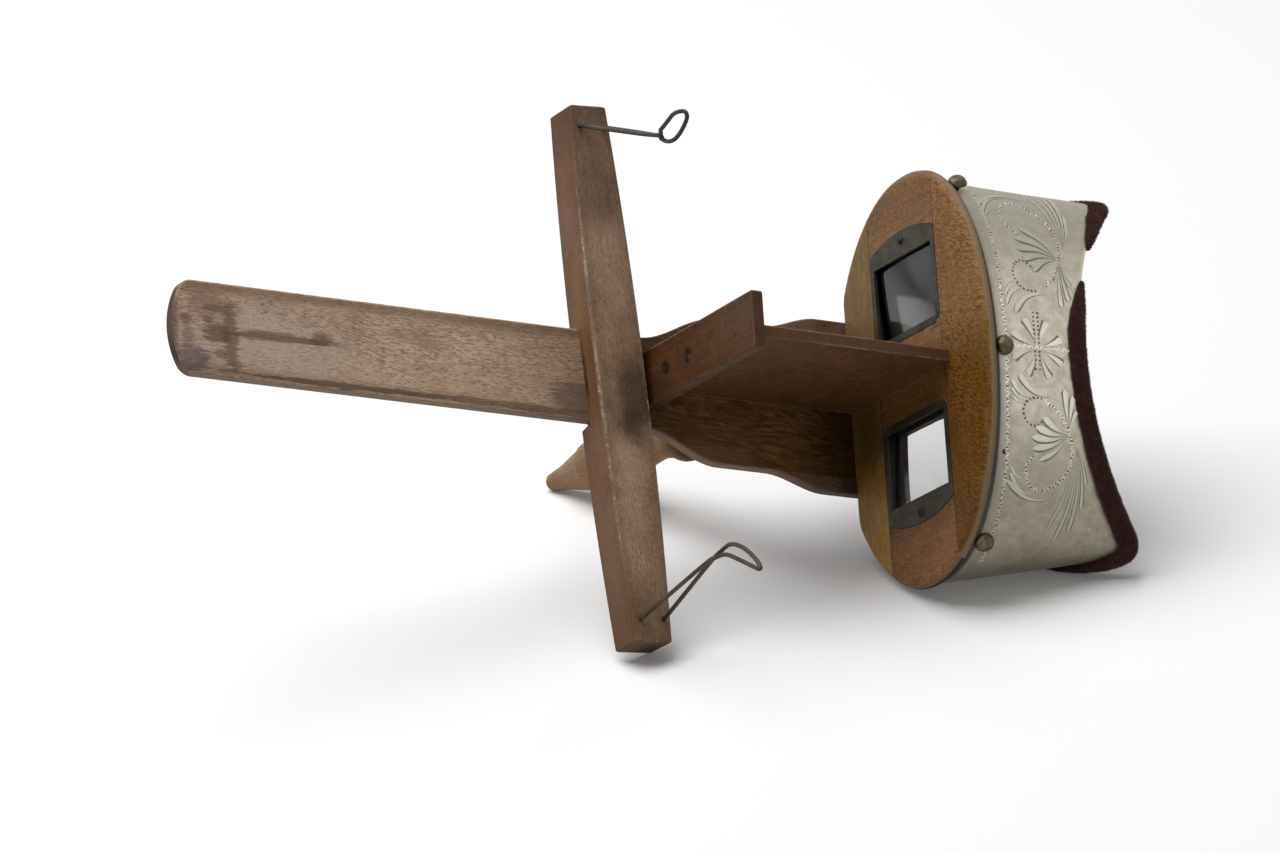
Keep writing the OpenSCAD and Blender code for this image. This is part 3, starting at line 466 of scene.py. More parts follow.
holderLook = {
    "grain": "x", "seat": holderSeat, "dark": (0.045, 0.021, 0.010), "mid": (0.215, 0.123, 0.070),
    "light": (0.40, 0.26, 0.17), "rough": 0.55, "seed": 41, "wander": 5, "cloud": 0.8, "patch": 0.07,
    "flecks": (0.38, 1.6, 0.34, 0.0, (0.065, 0.036, 0.021)), "pores": 0.6,
    # Faces: painted light and shade by facing, the +v side darker and the top lighter; the ends darker,
    # partly end grain and partly painted shade
    "faces": [
        ((0, 1, 0), (0.112, 0.043, 0.014), 0.72), ((0, 0, 1), (0.20, 0.135, 0.092), 0.3),
        ((1, 0, 0), (0.06, 0.035, 0.02), 0.7), ((-1, 0, 0), (0.05, 0.028, 0.016), 0.7),
    ],
    "washes": [(0, 70, 94, (0.62, 0.6, 0.58), 1.0), (0, -60, -94, (0.8, 0.78, 0.72), 1.0)],
    "stains": [
        ((-20, -2, 8), (9, 8), 0.4, (0.06, 0.038, 0.024)), ((20, 9, 2), (26, 5), 0.4, (0.21, 0.115, 0.04)),
        ((-60, 9, 0), (20, 6), 0.35, (0.19, 0.115, 0.06)),
    ],
    "shades": [
        ((38, -1, 8), (22, 12), 1.0, (1.5, 1.55, 1.68)), ((64, 0, 8), (16, 11), 1.0, (0.7, 0.72, 0.76)),
        ((12, 1, 8), (14, 9), 1.0, (1.25, 1.22, 1.2)), ((-9, -4, 8), (19, 12), 1.0, (0.36, 0.34, 0.33)),
        # The dark band on the +v face just above the bar is painted shade where the bar passes through, with
        # some grime
        ((0, 8.9, 1.2), (17, 1.8), 1.0, (0.10, 0.08, 0.07)),
        ((-33, 2, 8), (11, 10), 1.0, (1.5, 1.52, 1.58)), ((-54, 3, 8), (22, 8), 1.0, (1.45, 1.48, 1.55)),
    ],
    "box": ((-96, -9.5, -7.2), (96, 8.9, 8.4)), "wear": 0.8, "ragged": 3.2, "wearWidth": 0.22,
    "wearTone": (0.52, 0.44, 0.34),
}
handleLook = {
    "grain": "z", "seat": handleSeat, "dark": (0.12, 0.062, 0.028), "mid": (0.26, 0.15, 0.075),
    "light": (0.37, 0.235, 0.13), "rough": 0.5, "seed": 51,
    "flecks": (0.4, 3.0, 0.45, 0.0, (0.13, 0.07, 0.035)), "pores": 0.6,
    # A painted shadow: the handle's top, under the base board, is darkened
    "stains": [((0, 0, -13), (20, 40), 0.9, (0.048, 0.026, 0.015))],
}
for node, name, look in [
    ("slide_bar", "barWood", barLook), ("base_board", "baseWood", baseLook),
    ("lower_rail", "lowRailWood", lowRailLook), ("lens_panel", "panelWood", panelLook),
    ("upper_rail", "highRailWood", highRailLook), ("septum", "septumWood", septumLook),
    ("septum_plate", "plateWood", plateLook), ("crossbar", "holderWood", holderLook),
    ("handle", "handleWood", handleLook),
]:
    paintNode(node, wood(name, look))
print("woods done")


# Metals

def darkMetal(name, look):
    paint = Paint(name)
    at = paint.seat(look.get("seat", bodySeat))
    cloud = paint.noise(at, look.get("cloud", 0.12), 5, 0.6, look["seed"])
    grit = paint.noise(at, 2.4, 4, 0.7, look["seed"] + 1)
    rub = paint.noise(at, 0.5, 4, 0.62, look["seed"] + 2).rise(0.56, 0.7)
    paint.colour = paint.mix(cloud.rise(0.35, 0.68), look["dark"], look["mid"])
    paint.lay(rub * look["rub"], look["bright"])
    rough = look["rough"] + (grit - 0.5) * 0.3 - rub * 0.1
    return paint.finish(rough=rough, metal=look["metal"], normal=paint.bump(grit + cloud, 0.05, 0.6))


metalLooks = {
    "frameMetal": {
        "nodes": ["lens_frame_left", "lens_frame_right", "handle_bracket"],
        "dark": (0.028, 0.024, 0.016), "mid": (0.062, 0.053, 0.037), "bright": (0.16, 0.14, 0.10),
        "rub": 0.3, "rough": 0.55, "metal": 0.6, "seed": 61,
    },
    "frameScrewMetal": {
        "nodes": ["frame_screws"],
        "dark": (0.006, 0.005, 0.004), "mid": (0.016, 0.013, 0.01), "bright": (0.07, 0.06, 0.05),
        "rub": 0.25, "rough": 0.6, "metal": 0.4, "seed": 69, "cloud": 0.6,
    },
    "screwMetal": {
        "nodes": ["plate_screws", "base_screws", "bracket_screws", "handle_pivot", "spring_screws"],
        "dark": (0.03, 0.024, 0.018), "mid": (0.10, 0.085, 0.065), "bright": (0.32, 0.29, 0.24),
        "rub": 0.5, "rough": 0.45, "metal": 0.85, "seed": 63, "cloud": 0.5,
    },
    "wireMetal": {
        "nodes": ["holder_spring", "card_clip_left", "card_clip_right"],
        "dark": (0.022, 0.016, 0.010), "mid": (0.060, 0.045, 0.029), "bright": (0.15, 0.12, 0.085),
        "rub": 0.3, "rough": 0.5, "metal": 0.4, "seed": 65, "seat": holderSeat,
    },
    "nailMetal": {
        "nodes": ["hood_nails"],
        "dark": (0.05, 0.04, 0.022), "mid": (0.12, 0.10, 0.06), "bright": (0.34, 0.3, 0.2),
        "rub": 0.35, "rough": 0.38, "metal": 0.8, "seed": 67, "cloud": 0.4,
    },
}
metals = {}
for name, look in metalLooks.items():
    metals[name] = darkMetal(name, look)
    for node in look["nodes"]:
        paintNode(node, metals[name])
print("metals done")


# Meshes

def newObject(name, data):
    made = bpy.data.objects.new(name, data)
    scene.collection.objects.link(made)
    return made


def newMesh(name, points, faces, *materials, edges=()):
    mesh = bpy.data.meshes.new(name)
    mesh.from_pydata([tuple(point) for point in points], edges, faces)
    for material in materials:
        mesh.materials.append(material)
    return mesh


def faceOutwards(mesh, merge=0):  # for a closed shape; merge is the distance within which doubles join
    work = bmesh.new()
    work.from_mesh(mesh)
    if merge:
        bmesh.ops.remove_doubles(work, verts=work.verts, dist=merge)
    bmesh.ops.recalc_face_normals(work, faces=work.faces)
    work.to_mesh(mesh)
    work.free()
    mesh.shade_smooth()


def gridFaces(rows, columns, closed=False):  # closed: the last column meets the first
    faces = []
    for i in range(rows - 1):
        for j in range(columns if closed else columns - 1):
            a, b, after = i * columns, (i + 1) * columns, (j + 1) % columns
            faces.append([a + j, b + j, b + after, a + after])
    return faces


def tubeFaces(rows, around):  # round and closed at both ends
    last = (rows - 1) * around
    return gridFaces(rows, around, True) + [list(range(around))[::-1], list(range(last, last + around))]


def throughPoints(points, steps=0, spacing=1):  # a smooth line, with even steps or a spacing between points
    points = [Vector(point) for point in points]
    line = []
    for k, (here, there) in enumerate(zip(points, points[1:])):
        before, after = points[max(0, k - 1)], points[min(len(points) - 1, k + 2)]
        count = steps or max(2, int((there - here).length / spacing))
        for i in range(count):
            t = i / count
            line.append(0.5 * (
                2 * here + (there - before) * t + (2 * before - 5 * here + 4 * there - after) * t * t
                + (3 * here - before - 3 * there + after) * t ** 3
            ))
    return line + [points[-1]]


def uprightPoints(name, points, ways, edges=()):  # points in the instrument's frame, each with its own up
    mesh = newMesh(name, [place(point) for point in points], [], edges=edges)
    upright = mesh.attributes.new("upright", "FLOAT_VECTOR", "POINT")
    for index, way in enumerate(ways):
        upright.data[index].vector = back @ way
    return mesh


# Hood

hood = {
    "sheet": 0.7, "middle": 40, "half": 74.5, "up": 46.5, "down": 51, "inset": 1.75, "shift": -1.3,
    "taper": 0.137, "climb": 0.38, "tuck": 0.255, "start": 3.3, "brow": 39.6, "browRound": 94,
    "cheek": 16.5, "cheekSlope": 0.77, "footTurn": 3.6, "edgeShift": -1.2, "foot": 0.6, "board": 12,
    "rimBlend": 2.5, "rimNear": 50, "square": 2.15,  # the upper half is a little squarer than an ellipse
    "steps": 300, "rows": 56, "crowd": 0.10, "sharp": 50,
    "innerGap": 0.04, "bareEdge": (47, 71), "covered": 9,  # the rim is bare where the binding is torn
    "dents": 0.16, "dentScale": 0.045, "beats": 0.05, "beatScale": 0.13, "calm": (8, 7), "sink": 0.02,
    "spare": (119, 7.65, 0.9),  # the spare nail hole's angle, depth and radius
}
footAngle = degrees(asin((hood["middle"] - hood["foot"]) / (hood["down"] - hood["inset"])))


def rounded(x):  # a cosine or sine drawn out towards the corners
    power = 2 / hood["square"]
    return abs(x) ** power if x > 0 else -abs(x) ** power


def oval(half, middle, up, down, angle):
    c, s = cos(radians(angle)), sin(radians(angle))
    if s > 0:
        return half * rounded(c), middle + up * rounded(s)
    return half * c, middle + down * s


def hoodPoint(angle, depth, inset=0.0):
    middle = hood["middle"] + hood["climb"] * depth
    up = hood["middle"] + hood["up"] - hood["inset"] - middle - inset
    down = hood["down"] - hood["inset"] - hood["tuck"] * depth - inset
    x, z = oval(hood["half"] - hood["inset"] - hood["taper"] * depth - inset, middle, up, down, angle)
    return Vector((x + hood["edgeShift"] + hood["shift"], -depth, z))


def rimDepth(angle):  # the least of brow, cheek and foot, blended
    point = hoodPoint(angle, hood["rimNear"])
    low = min(angle, 180 - angle) + footAngle
    x = point.x - hood["edgeShift"] - hood["shift"]
    options = [
        hood["brow"] + hood["browRound"] - sqrt(max(0, hood["browRound"] ** 2 - x * x)),
        hood["cheek"] + hood["cheekSlope"] * point.z,
        hood["board"] + 1 + hood["footTurn"] * low,
    ]
    return -hood["rimBlend"] * log(sum(exp(-option / hood["rimBlend"]) for option in options))


def hoodNormal(angle, depth):
    return (hoodPoint(angle + 0.5, depth) - hoodPoint(angle - 0.5, depth)).cross(
        hoodPoint(angle, depth + 0.5) - hoodPoint(angle, depth - 0.5)).normalized()


def hoodDent(point):  # slight unevenness of beaten sheet
    broad = noise.noise(point * hood["dentScale"] + Vector((3, 1, 7)))
    return hood["dents"] * broad + hood["beats"] * noise.noise(point * hood["beatScale"])


def hoodSurface(angle, depth, lift=0.0):
    point = hoodPoint(angle, depth)
    fromBoard, fromRim = depth - hood["board"] - 1, rimDepth(angle) - depth
    quiet = ease(fromBoard / hood["calm"][0]) * ease(fromRim / hood["calm"][1])
    return point + hoodNormal(angle, depth) * (lift + hoodDent(point) * quiet - hood["sink"])


def makeHood(outside, inside):
    columns, rows = hood["steps"] + 1, hood["rows"] + 1
    points, fromRim = [], []
    for lift in (0.0, hood["innerGap"] - hood["sheet"]):  # the outside, then the inside
        for i in range(columns):
            t = i / hood["steps"]
            angle = -footAngle + (180 + 2 * footAngle) * (t - hood["crowd"] * sin(2 * pi * t))
            rim = rimDepth(angle)
            for j in range(rows):
                depth = hood["start"] + (rim - hood["start"]) * j / hood["rows"]
                points.append(hoodSurface(angle, depth, lift))
                isBare = hood["bareEdge"][0] < angle < hood["bareEdge"][1]
                fromRim.append(rim - depth if isBare else hood["covered"])
    inner = columns * rows
    faces = [face[::-1] for face in gridFaces(columns, rows)]
    count = len(faces)
    faces += [[inner + index for index in face[::-1]] for face in faces]
    edge = [i * rows for i in range(columns)] + [(columns - 1) * rows + j for j in range(1, rows)]
    edge += [i * rows + rows - 1 for i in range(columns - 2, -1, -1)] + list(range(rows - 2, 0, -1))
    for a, b in zip(edge, edge[1:] + edge[:1]):
        faces.append([a, b, inner + b, inner + a])
    mesh = newMesh("hoodSheet", [place(point) for point in points], faces, outside, inside)
    faceOutwards(mesh)
    for index in range(count, 2 * count):
        mesh.polygons[index].material_index = 1
    mesh.attributes.new("fromRim", "FLOAT", "POINT").data.foreach_set("value", fromRim)
    mesh.set_sharp_from_angle(angle=radians(hood["sharp"]))
    piece = newObject("hoodSheet", mesh)
    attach(piece, "viewer")
    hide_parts("hood")


hoodTones = {
    "dimSides": (0.33, 0.305, 0.25), "brightMiddle": (0.55, 0.51, 0.43), "upper": (0.34, 0.325, 0.272),
    "haze": (0.22, 0.195, 0.145), "bright": (0.55, 0.52, 0.44), "spots": (0.17, 0.145, 0.10),
    "low": (0.23, 0.195, 0.14), "boardReflection": (0.15, 0.125, 0.09), "joint": (0.012, 0.009, 0.006),
    "scratch": (0.74, 0.71, 0.62), "border": (0.16, 0.14, 0.10), "bare": (0.62, 0.56, 0.42),
    "hole": (0.004, 0.003, 0.002), "lining": (0.018, 0.016, 0.013), "liningPale": (0.05, 0.045, 0.036),
    "liningWorn": (0.16, 0.145, 0.12),
}


def hoodMetal():
    paint, tones = Paint("hoodMetal"), hoodTones
    at = paint.seat()
    x, y, z = paint.split(at)
    cloud = paint.noise(at, 0.06, 5, 0.62, 71)
    haze = paint.noise(at, 0.25, 6, 0.66, 72)
    grit = paint.noise(at, 2.2, 4, 0.75, 73)
    draw = paint.noise(paint.join(x * 0.25, y * 3.5, z * 0.25), 1, 3, 0.6, 74)
    # Painted reflection: the sheet is brighter along its middle and dimmer towards the sides and over the top
    aside = (x + 2 + (cloud - 0.5) * 30).size()
    paint.colour = paint.mix(1 - aside.rise(12, 50), tones["dimSides"], tones["brightMiddle"])
    paint.lay(x.rise(20, 60) * 0.6, tones["upper"])
    paint.lay(haze.rise(0.35, 0.7) * 0.45, tones["haze"])
    paint.lay((cloud * 0.5 + grit * 0.5).rise(0.5, 0.68) * 0.3, tones["bright"])
    spots = paint.noise(at, 0.7, 4, 0.7, 75).rise(0.62, 0.7)
    paint.lay(spots * 0.5, tones["spots"])
    # Darker towards the lower side, in blotches from a noise: painted shade, with a painted reflection of the
    # shaded floor
    low = (-x + (haze - 0.5) * 30).rise(38, 70)
    stain = paint.noise(at, 0.11, 5, 0.7, 76).rise(0.48, 0.6)
    paint.lay(low * (0.3 + stain * 0.4), tones["low"])
    # A painted reflection of the lens board's wood: a brownish band on the sheet beside the board
    boardReflection = 1 - (-y + (haze - 0.5) * 2).rise(5, 8)
    paint.lay(boardReflection * 0.55, tones["boardReflection"])
    # Painted shade: a near-black line in the gap where the sheet meets the board
    joint = 1 - (-y + (grit - 0.5) * 0.5).rise(5.0, 5.6)
    paint.lay(joint * 0.97, tones["joint"])
    nick = (x * 0.5 - y - 14 + (haze - 0.5) * 9).size().least(9)
    lines = paint.noise(paint.join(x * 0.12, y * 1.6, z * 0.5), 1, 2, 0.5, 79)
    paint.lay(lines.rise(0.69, 0.72) * (1 - nick.rise(0.5, 5)) * 0.6, tones["scratch"])
    border = 1 - (-y - 8.5).size().rise(0.2, 3.0)
    paint.lay(border * grit * 0.5, tones["border"])
    bare = 1 - paint.add("ShaderNodeAttribute", {"attribute_name": "fromRim"}, output="Fac").rise(0.3, 1.5)
    paint.lay(bare * 0.9, tones["bare"])
    # The spare nail hole is not cut: a near-black disc is painted in its place, standing for the shade and
    # dark lining seen through a hole
    angle, depth, radius = hood["spare"]
    spare = 1 - (at - tuple(hoodPoint(angle, depth))).length().rise(radius * 0.8, radius * 1.2)
    paint.lay(spare, tones["hole"])
    rough = 0.46 + (haze - 0.5) * 0.4 + (grit - 0.5) * 0.2 + low * 0.08
    height = draw * 0.3 + grit * 0.4 + haze * 0.5
    metal = (1.0 - spots * 0.5 - boardReflection * 0.3 - bare * 0.6 - joint * 0.9 - spare).most(0)
    return paint.finish(rough=rough, metal=metal, normal=paint.bump(height, 0.07, 0.7))


def hoodLining():
    paint, tones = Paint("hoodLining"), hoodTones
    at = paint.seat()
    cloud = paint.noise(at, 0.12, 5, 0.6, 101)
    grit = paint.noise(at, 1.6, 4, 0.7, 102)
    paint.colour = paint.mix(cloud, tones["lining"], tones["liningPale"])
    worn = (cloud * 0.5 + grit * 0.5).rise(0.56, 0.68)
    paint.lay(worn * 0.5, tones["liningWorn"])
    return paint.finish(rough=0.75 - worn * 0.2, metal=worn * 0.6, normal=paint.bump(grit + cloud, 0.06, 0.6))


makeHood(hoodMetal(), hoodLining())
print("hood done")


# Engraving: bright-cut leaves, and wriggled and dotted lines, lying on the sheet

ornament = {  # places are (across, depth), from the centre line, but for the border and the band
    "centreLine": -2.0, "sides": [(-1, 1.0, 1.0), (1, 1.2, 1.07)],  # side, stretch across, stretch in depth
    "petals": {
        "at": 21.4, "from": 1.6, "length": 11.4, "width": 3.7, "spread": 25, "bend": 0.05, "blunt": 0.05,
    },
    "sprays": [
        {"from": (29, 33.2), "bend": 0.10, "blunt": 0.2, "tips": [
            ((24, 22.5), 3.8), ((27.6, 19.6), 3.9), ((31.2, 18.2), 3.9), ((35, 18.6), 3.7),
            ((38.8, 21.6), 3.0),
        ]},
        {"from": (27.5, 33.6), "bend": 0.04, "blunt": 0.07, "tips": [
            ((13.4, 31.4), 2.7), ((15.6, 34.8), 2.7), ((20.4, 36.2), 2.1),
        ]},
        {"from": (33, 36.8), "bend": 0.04, "blunt": 0.10, "tips": [
            ((45.6, 41.6), 1.9), ((53.4, 41), 2.0), ((60.8, 38), 2.1), ((63.6, 33.6), 1.9),
            ((60, 29.6), 1.5),
        ]},
    ],
    "crescents": {"bend": 0.16, "blunt": 0.12, "leaves": [  # tip, start, width
        ((10, 12.8), (17, 26.6), 3.2), ((12.2, 9.8), (18.2, 18), 2.2), ((15, 9.8), (19, 15.6), 1.5),
        ((17.8, 10.2), (20, 14.6), 1.1), ((45.8, 9.8), (49.6, 31), 2.5), ((43.2, 10.6), (50, 22.6), 2.0),
        ((41.4, 10.6), (45.2, 18), 1.4),
    ]},
    "ring": [(17.8, 22), (17.8, 18.4), (20, 15.4), (23, 14.6), (26.2, 16.2), (27.4, 19.4), (25.8, 22)],
    "scroll": [
        (18.8, 24), (20.2, 27), (22.6, 30), (26, 32.2), (30.2, 34.2), (35.2, 35), (40.2, 34.2), (44, 31.8),
        (46.8, 28), (48.2, 23.8), (47.2, 19.8), (44, 17.4), (40, 17.4), (36.6, 20.6),
    ],
    "border": [
        (-71, 10.6), (-60, 9.7), (-45, 9.2), (-30, 8.5), (-15, 8.2), (0, 8.8), (14, 9), (26, 9.8), (37, 10.6),
        (49, 11.5), (60, 12.6), (67, 14.6),
    ],
    "stem": [(0, 10.2), (0.3, 22), (0.6, 34.6)], "band": [(-9.5, 21), (0, 21.4), (11, 22)], "bandApart": 0.9,
    "lift": 0.05, "steps": 12, "thin": 0.06, "swell": 1.05,
    "section": [(-1, 0.03), (-0.45, -0.01), (1, 0.2)],  # across a leaf: share of its half width, height
}
leafTones = {
    "dull": (0.56, 0.525, 0.44), "bright": (0.80, 0.76, 0.66), "aside": (0.36, 0.335, 0.275),
    "start": (0.34, 0.31, 0.25), "shade": (0.115, 0.10, 0.07),
}


def angleAcross(u, depth):  # where around the hood a place across it lies
    low, high = 180.0, 0.0
    for _ in range(40):
        middle = (low + high) / 2
        if hoodPoint(middle, depth).x < u:
            low = middle
        else:
            high = middle
    return (low + high) / 2


def halfLeaf(flow, width, blunt):  # thin where it starts
    body = flow ** ornament["swell"] * min(1, ((1 - flow) / blunt) ** 0.5)
    return max(ornament["thin"], width / 2 * body)


def addLeaf(leaf, start, tip, width, bend, blunt):
    points, faces, uvs = leaf
    steps, section = ornament["steps"], ornament["section"]
    run = Vector(tip) - Vector(start)
    side = Vector((-run.y, run.x)) / run.length
    first = len(points)
    for i in range(steps + 1):
        t = i / steps
        middle = Vector(start) + run * t + side * bend * run.length * sin(pi * t)
        ahead = (run + side * bend * run.length * pi * cos(pi * t)).normalized()
        half = halfLeaf(t, width, blunt)
        for share, height in section:
            spot = middle + Vector((-ahead.y, ahead.x)) * half * share
            lift = ornament["lift"] + height * min(1, half)
            points.append(place(hoodSurface(angleAcross(spot.x, spot.y), spot.y, lift)))
            uvs.append(((share + 1) / 2, t))
    faces += [[first + index for index in face] for face in gridFaces(steps + 1, len(section))]


def makeLeaves():
    petals, crescents = ornament["petals"], ornament["crescents"]
    leaf = ([], [], [])  # points, faces, places on each leaf
    centre = Vector((ornament["centreLine"], petals["at"]))
    for quarter in range(4):
        for side in (-1, 1):
            turned = radians(quarter * 90 + side * petals["spread"])
            way = Vector((cos(turned), sin(turned)))
            addLeaf(leaf, centre + way * petals["from"], centre + way * petals["length"], petals["width"],
                    -petals["bend"] * side, petals["blunt"])
    for side, wide, deep in ornament["sides"]:
        def onSide(spot):
            return Vector((ornament["centreLine"] + side * spot[0] * wide, spot[1] * deep))
        for spray in ornament["sprays"]:
            for tip, width in spray["tips"]:
                addLeaf(leaf, onSide(spray["from"]), onSide(tip), width, spray["bend"] * side, spray["blunt"])
        for tip, start, width in crescents["leaves"]:
            addLeaf(leaf, onSide(start), onSide(tip), width, crescents["bend"] * side, crescents["blunt"])
    return leaf


def brightCut():
    paint, tones = Paint("brightCut"), leafTones
    side, flow = paint.split(paint.add("ShaderNodeUVMap", {"uv_map": "leaf"}))[:2]
    at = paint.seat()
    x = paint.split(at)[0]
    grit = paint.noise(at, 1.5, 3, 0.6, 77)
    dull = paint.noise(at, 0.09, 3, 0.6, 78).rise(0.36, 0.6)
    # Leaves away from the middle are dimmer, as on the sheet: painted reflection
    aside = (x + 2 + x.most(0) * 0.6).size().rise(22, 60)
    paint.colour = paint.mix(dull * 0.5, tones["bright"], tones["dull"])
    paint.lay(aside * 0.85, tones["aside"])
    paint.lay((1 - flow.rise(0.0, 0.55)) * 0.45, tones["start"])
    shade = 1 - (side + (grit - 0.5) * 0.2).rise(0.17, 0.33)
    paint.lay(shade * 0.9, tones["shade"])
    return paint.finish(rough=0.38 + grit * 0.2, metal=0.6, specular=0.5, normal=paint.bump(grit, 0.03, 0.5))


def pathsOnSheet(lines, spacing):  # a mesh of open lines, with the sheet's normal at each point
    points, normals, edges = [], [], []
    for line in lines:
        for index, spot in enumerate(throughPoints(line, spacing=spacing)):
            if index:
                edges.append((len(points) - 1, len(points)))
            angle = angleAcross(spot.x, spot.y)
            points.append(hoodSurface(angle, spot.y, hood["sink"]))
            normals.append(hoodNormal(angle, spot.y))
    return uprightPoints("paths", points, normals, edges)


class Growth(Tree):  # a geometry tree with named inputs
    def __init__(self, name, inputs):
        super().__init__(bpy.data.node_groups.new(name, "GeometryNodeTree"))
        self.newSocket("Geometry", "Geometry")
        self.keys = {label: self.newSocket(label, kind) for label, kind in inputs.items()}
        self.newSocket("Geometry", "Geometry", "OUTPUT")
        self.start = self.add("NodeGroupInput")

    def newSocket(self, label, kind, way="INPUT"):
        made = self.group.interface.new_socket(label, in_out=way, socket_type="NodeSocket" + kind)
        return made.identifier

    def given(self, label):
        return self.start.out(label)

    def chance(self, low, high, kind="FLOAT"):  # output 1 is the node's number, 0 its vector
        return self.add("FunctionNodeRandomValue", {"data_type": kind}, {
            "Min": low, "Max": high, "Seed": self.given("Seed"),
        }, output=1 if kind == "FLOAT" else 0)

    def attribute(self, name, kind):
        return self.add("GeometryNodeInputNamedAttribute", {"data_type": kind}, {"Name": name})

    def standing(self, second):  # turned so that z follows the upright attribute
        return self.add("FunctionNodeAxesToRotation", {"primary_axis": "Z", "secondary_axis": "X"}, {
            "Primary Axis": self.attribute("upright", "FLOAT_VECTOR"), "Secondary Axis": second,
        })

    def turned(self, first, then):
        return self.add("FunctionNodeRotateRotation", {"rotation_space": "LOCAL"}, {
            "Rotation": first, "Rotate By": then,
        })

    def cone(self, sides, radius, length):
        return self.add("GeometryNodeMeshCone", {"fill_type": "NONE"}, {
            "Vertices": sides, "Side Segments": 1, "Depth": length,
            "Radius Top": 0.0, "Radius Bottom": radius,
        })

    def real(self, copies):  # plain geometry in the finish that is given
        plain = self.add("GeometryNodeRealizeInstances", values={"Geometry": copies})
        return self.add("GeometryNodeSetMaterial", values={
            "Geometry": plain, "Material": self.given("Finish"),
        })

    def close(self, geometry):
        self.add("NodeGroupOutput", values={0: geometry})
        return self

    def grow(self, piece, values):
        modifier = piece.modifiers.new("growth", "NODES")
        modifier.node_group = self.group
        for label, value in values.items():
            modifier[self.keys[label]] = value
        piece.update_tag()
        bpy.context.view_layer.update()
        graph = bpy.context.evaluated_depsgraph_get()
        grown = piece.evaluated_get(graph)
        mesh = bpy.data.meshes.new_from_object(grown, preserve_all_data_layers=True, depsgraph=graph)
        piece.modifiers.remove(modifier)
        piece.data = mesh


def marksAlongPath():
    tree = Growth("marksAlongPath", {
        "Spacing": "Float", "Length": "Float", "Width": "Float", "Height": "Float",
        "Swing": "Float", "Aside": "Float", "Seed": "Int", "Finish": "Material",
    })
    curve = tree.add("GeometryNodeMeshToCurve", values={"Mesh": tree.given("Geometry")})
    curve = tree.add("GeometryNodeResampleCurve", {"mode": "LENGTH"}, {
        "Curve": curve, "Length": tree.given("Spacing"),
    })
    index = tree.add("GeometryNodeInputIndex")
    flip = index.sum("MODULO", index, 2) * 2 - 1
    swing = tree.add("FunctionNodeAxisAngleToRotation", values={
        "Axis": (0, 0, 1), "Angle": flip * tree.given("Swing") + tree.chance(-0.25, 0.25),
    })
    size = tree.join(tree.given("Length"), tree.given("Width"), tree.given("Height"))
    marks = tree.add("GeometryNodeInstanceOnPoints", values={
        "Points": curve,
        "Instance": tree.cone(4, 0.5, 1.0),
        "Rotation": tree.turned(tree.standing(tree.add("GeometryNodeInputTangent")), swing),
        "Scale": size * tree.chance(0.75, 1.25),
    })
    marks = tree.add("GeometryNodeTranslateInstances", values={
        "Instances": marks, "Local Space": True,
        "Translation": tree.join(0.0, flip * tree.given("Aside"), 0.0),
    })
    return tree.close(tree.real(marks))


def tickPaint(name, near, far, metal):
    paint = Paint(name)
    at = paint.seat()
    x = paint.split(at)[0]
    tone = paint.noise(at, 0.3, 3, 0.6, 88)
    # Marks away from the middle take the far tone, as on the sheet: painted reflection
    aside = (x + 2 + x.most(0) * 0.6 + (tone - 0.5) * 30).size().rise(18, 55)
    paint.colour = paint.mix(aside, near, far)
    return paint.finish(rough=0.45, metal=metal)


leafPoints, leafFaces, leafUvs = makeLeaves()
leaves = newObject("hoodLeaves", newMesh("hoodLeaves", leafPoints, leafFaces, brightCut()))
leafLayer = leaves.data.uv_layers.new(name="leaf")
for loop in leaves.data.loops:
    leafLayer.data[loop.index].uv = leafUvs[loop.vertex_index]
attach(leaves, "viewer")

zigzags = [ornament["border"], [(ornament["centreLine"] + u, v) for u, v in ornament["stem"]]]
bandApart = ornament["bandApart"]
dots = [[(u, v + apart) for u, v in ornament["band"]] for apart in (-bandApart, bandApart)]
for side, wide, deep in ornament["sides"]:
    for name, group in (("scroll", zigzags), ("ring", dots), ("scroll", dots)):
        group.append([(ornament["centreLine"] + side * u * wide, v * deep) for u, v in ornament[name]])
markSizes = {  # millimetres, and the swing in radians
    "pathSpacing": 0.8, "seed": 4,
    "wriggle": {"Spacing": 1.15, "Length": 2.1, "Width": 0.85, "Height": 0.17, "Swing": 0.95, "Aside": 0.38},
    "dots": {"Spacing": 1.5, "Length": 1.35, "Width": 0.95, "Height": 0.12, "Swing": 0.9, "Aside": 0.95},
}
marks = marksAlongPath()
tickBright = tickPaint("tickBright", (0.80, 0.76, 0.66), (0.46, 0.43, 0.36), 0.6)
tickDark = tickPaint("tickDark", (0.12, 0.10, 0.07), (0.11, 0.095, 0.068), 0.4)
for name, lines, finish, sizes in [
    ("hoodWriggle", zigzags, tickBright, markSizes["wriggle"]),
    ("hoodDots", dots + [zigzags[0]], tickDark, markSizes["dots"]),
]:
    piece = newObject(name, pathsOnSheet(lines, markSizes["pathSpacing"]))
    values = {key: (value if key == "Swing" else value / 1000) for key, value in sizes.items()}
    marks.grow(piece, {**values, "Seed": markSizes["seed"], "Finish": finish})
    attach(piece, "viewer")
    print(name, len(piece.data.polygons), "faces")
print("engraving done")


# Velvet binding

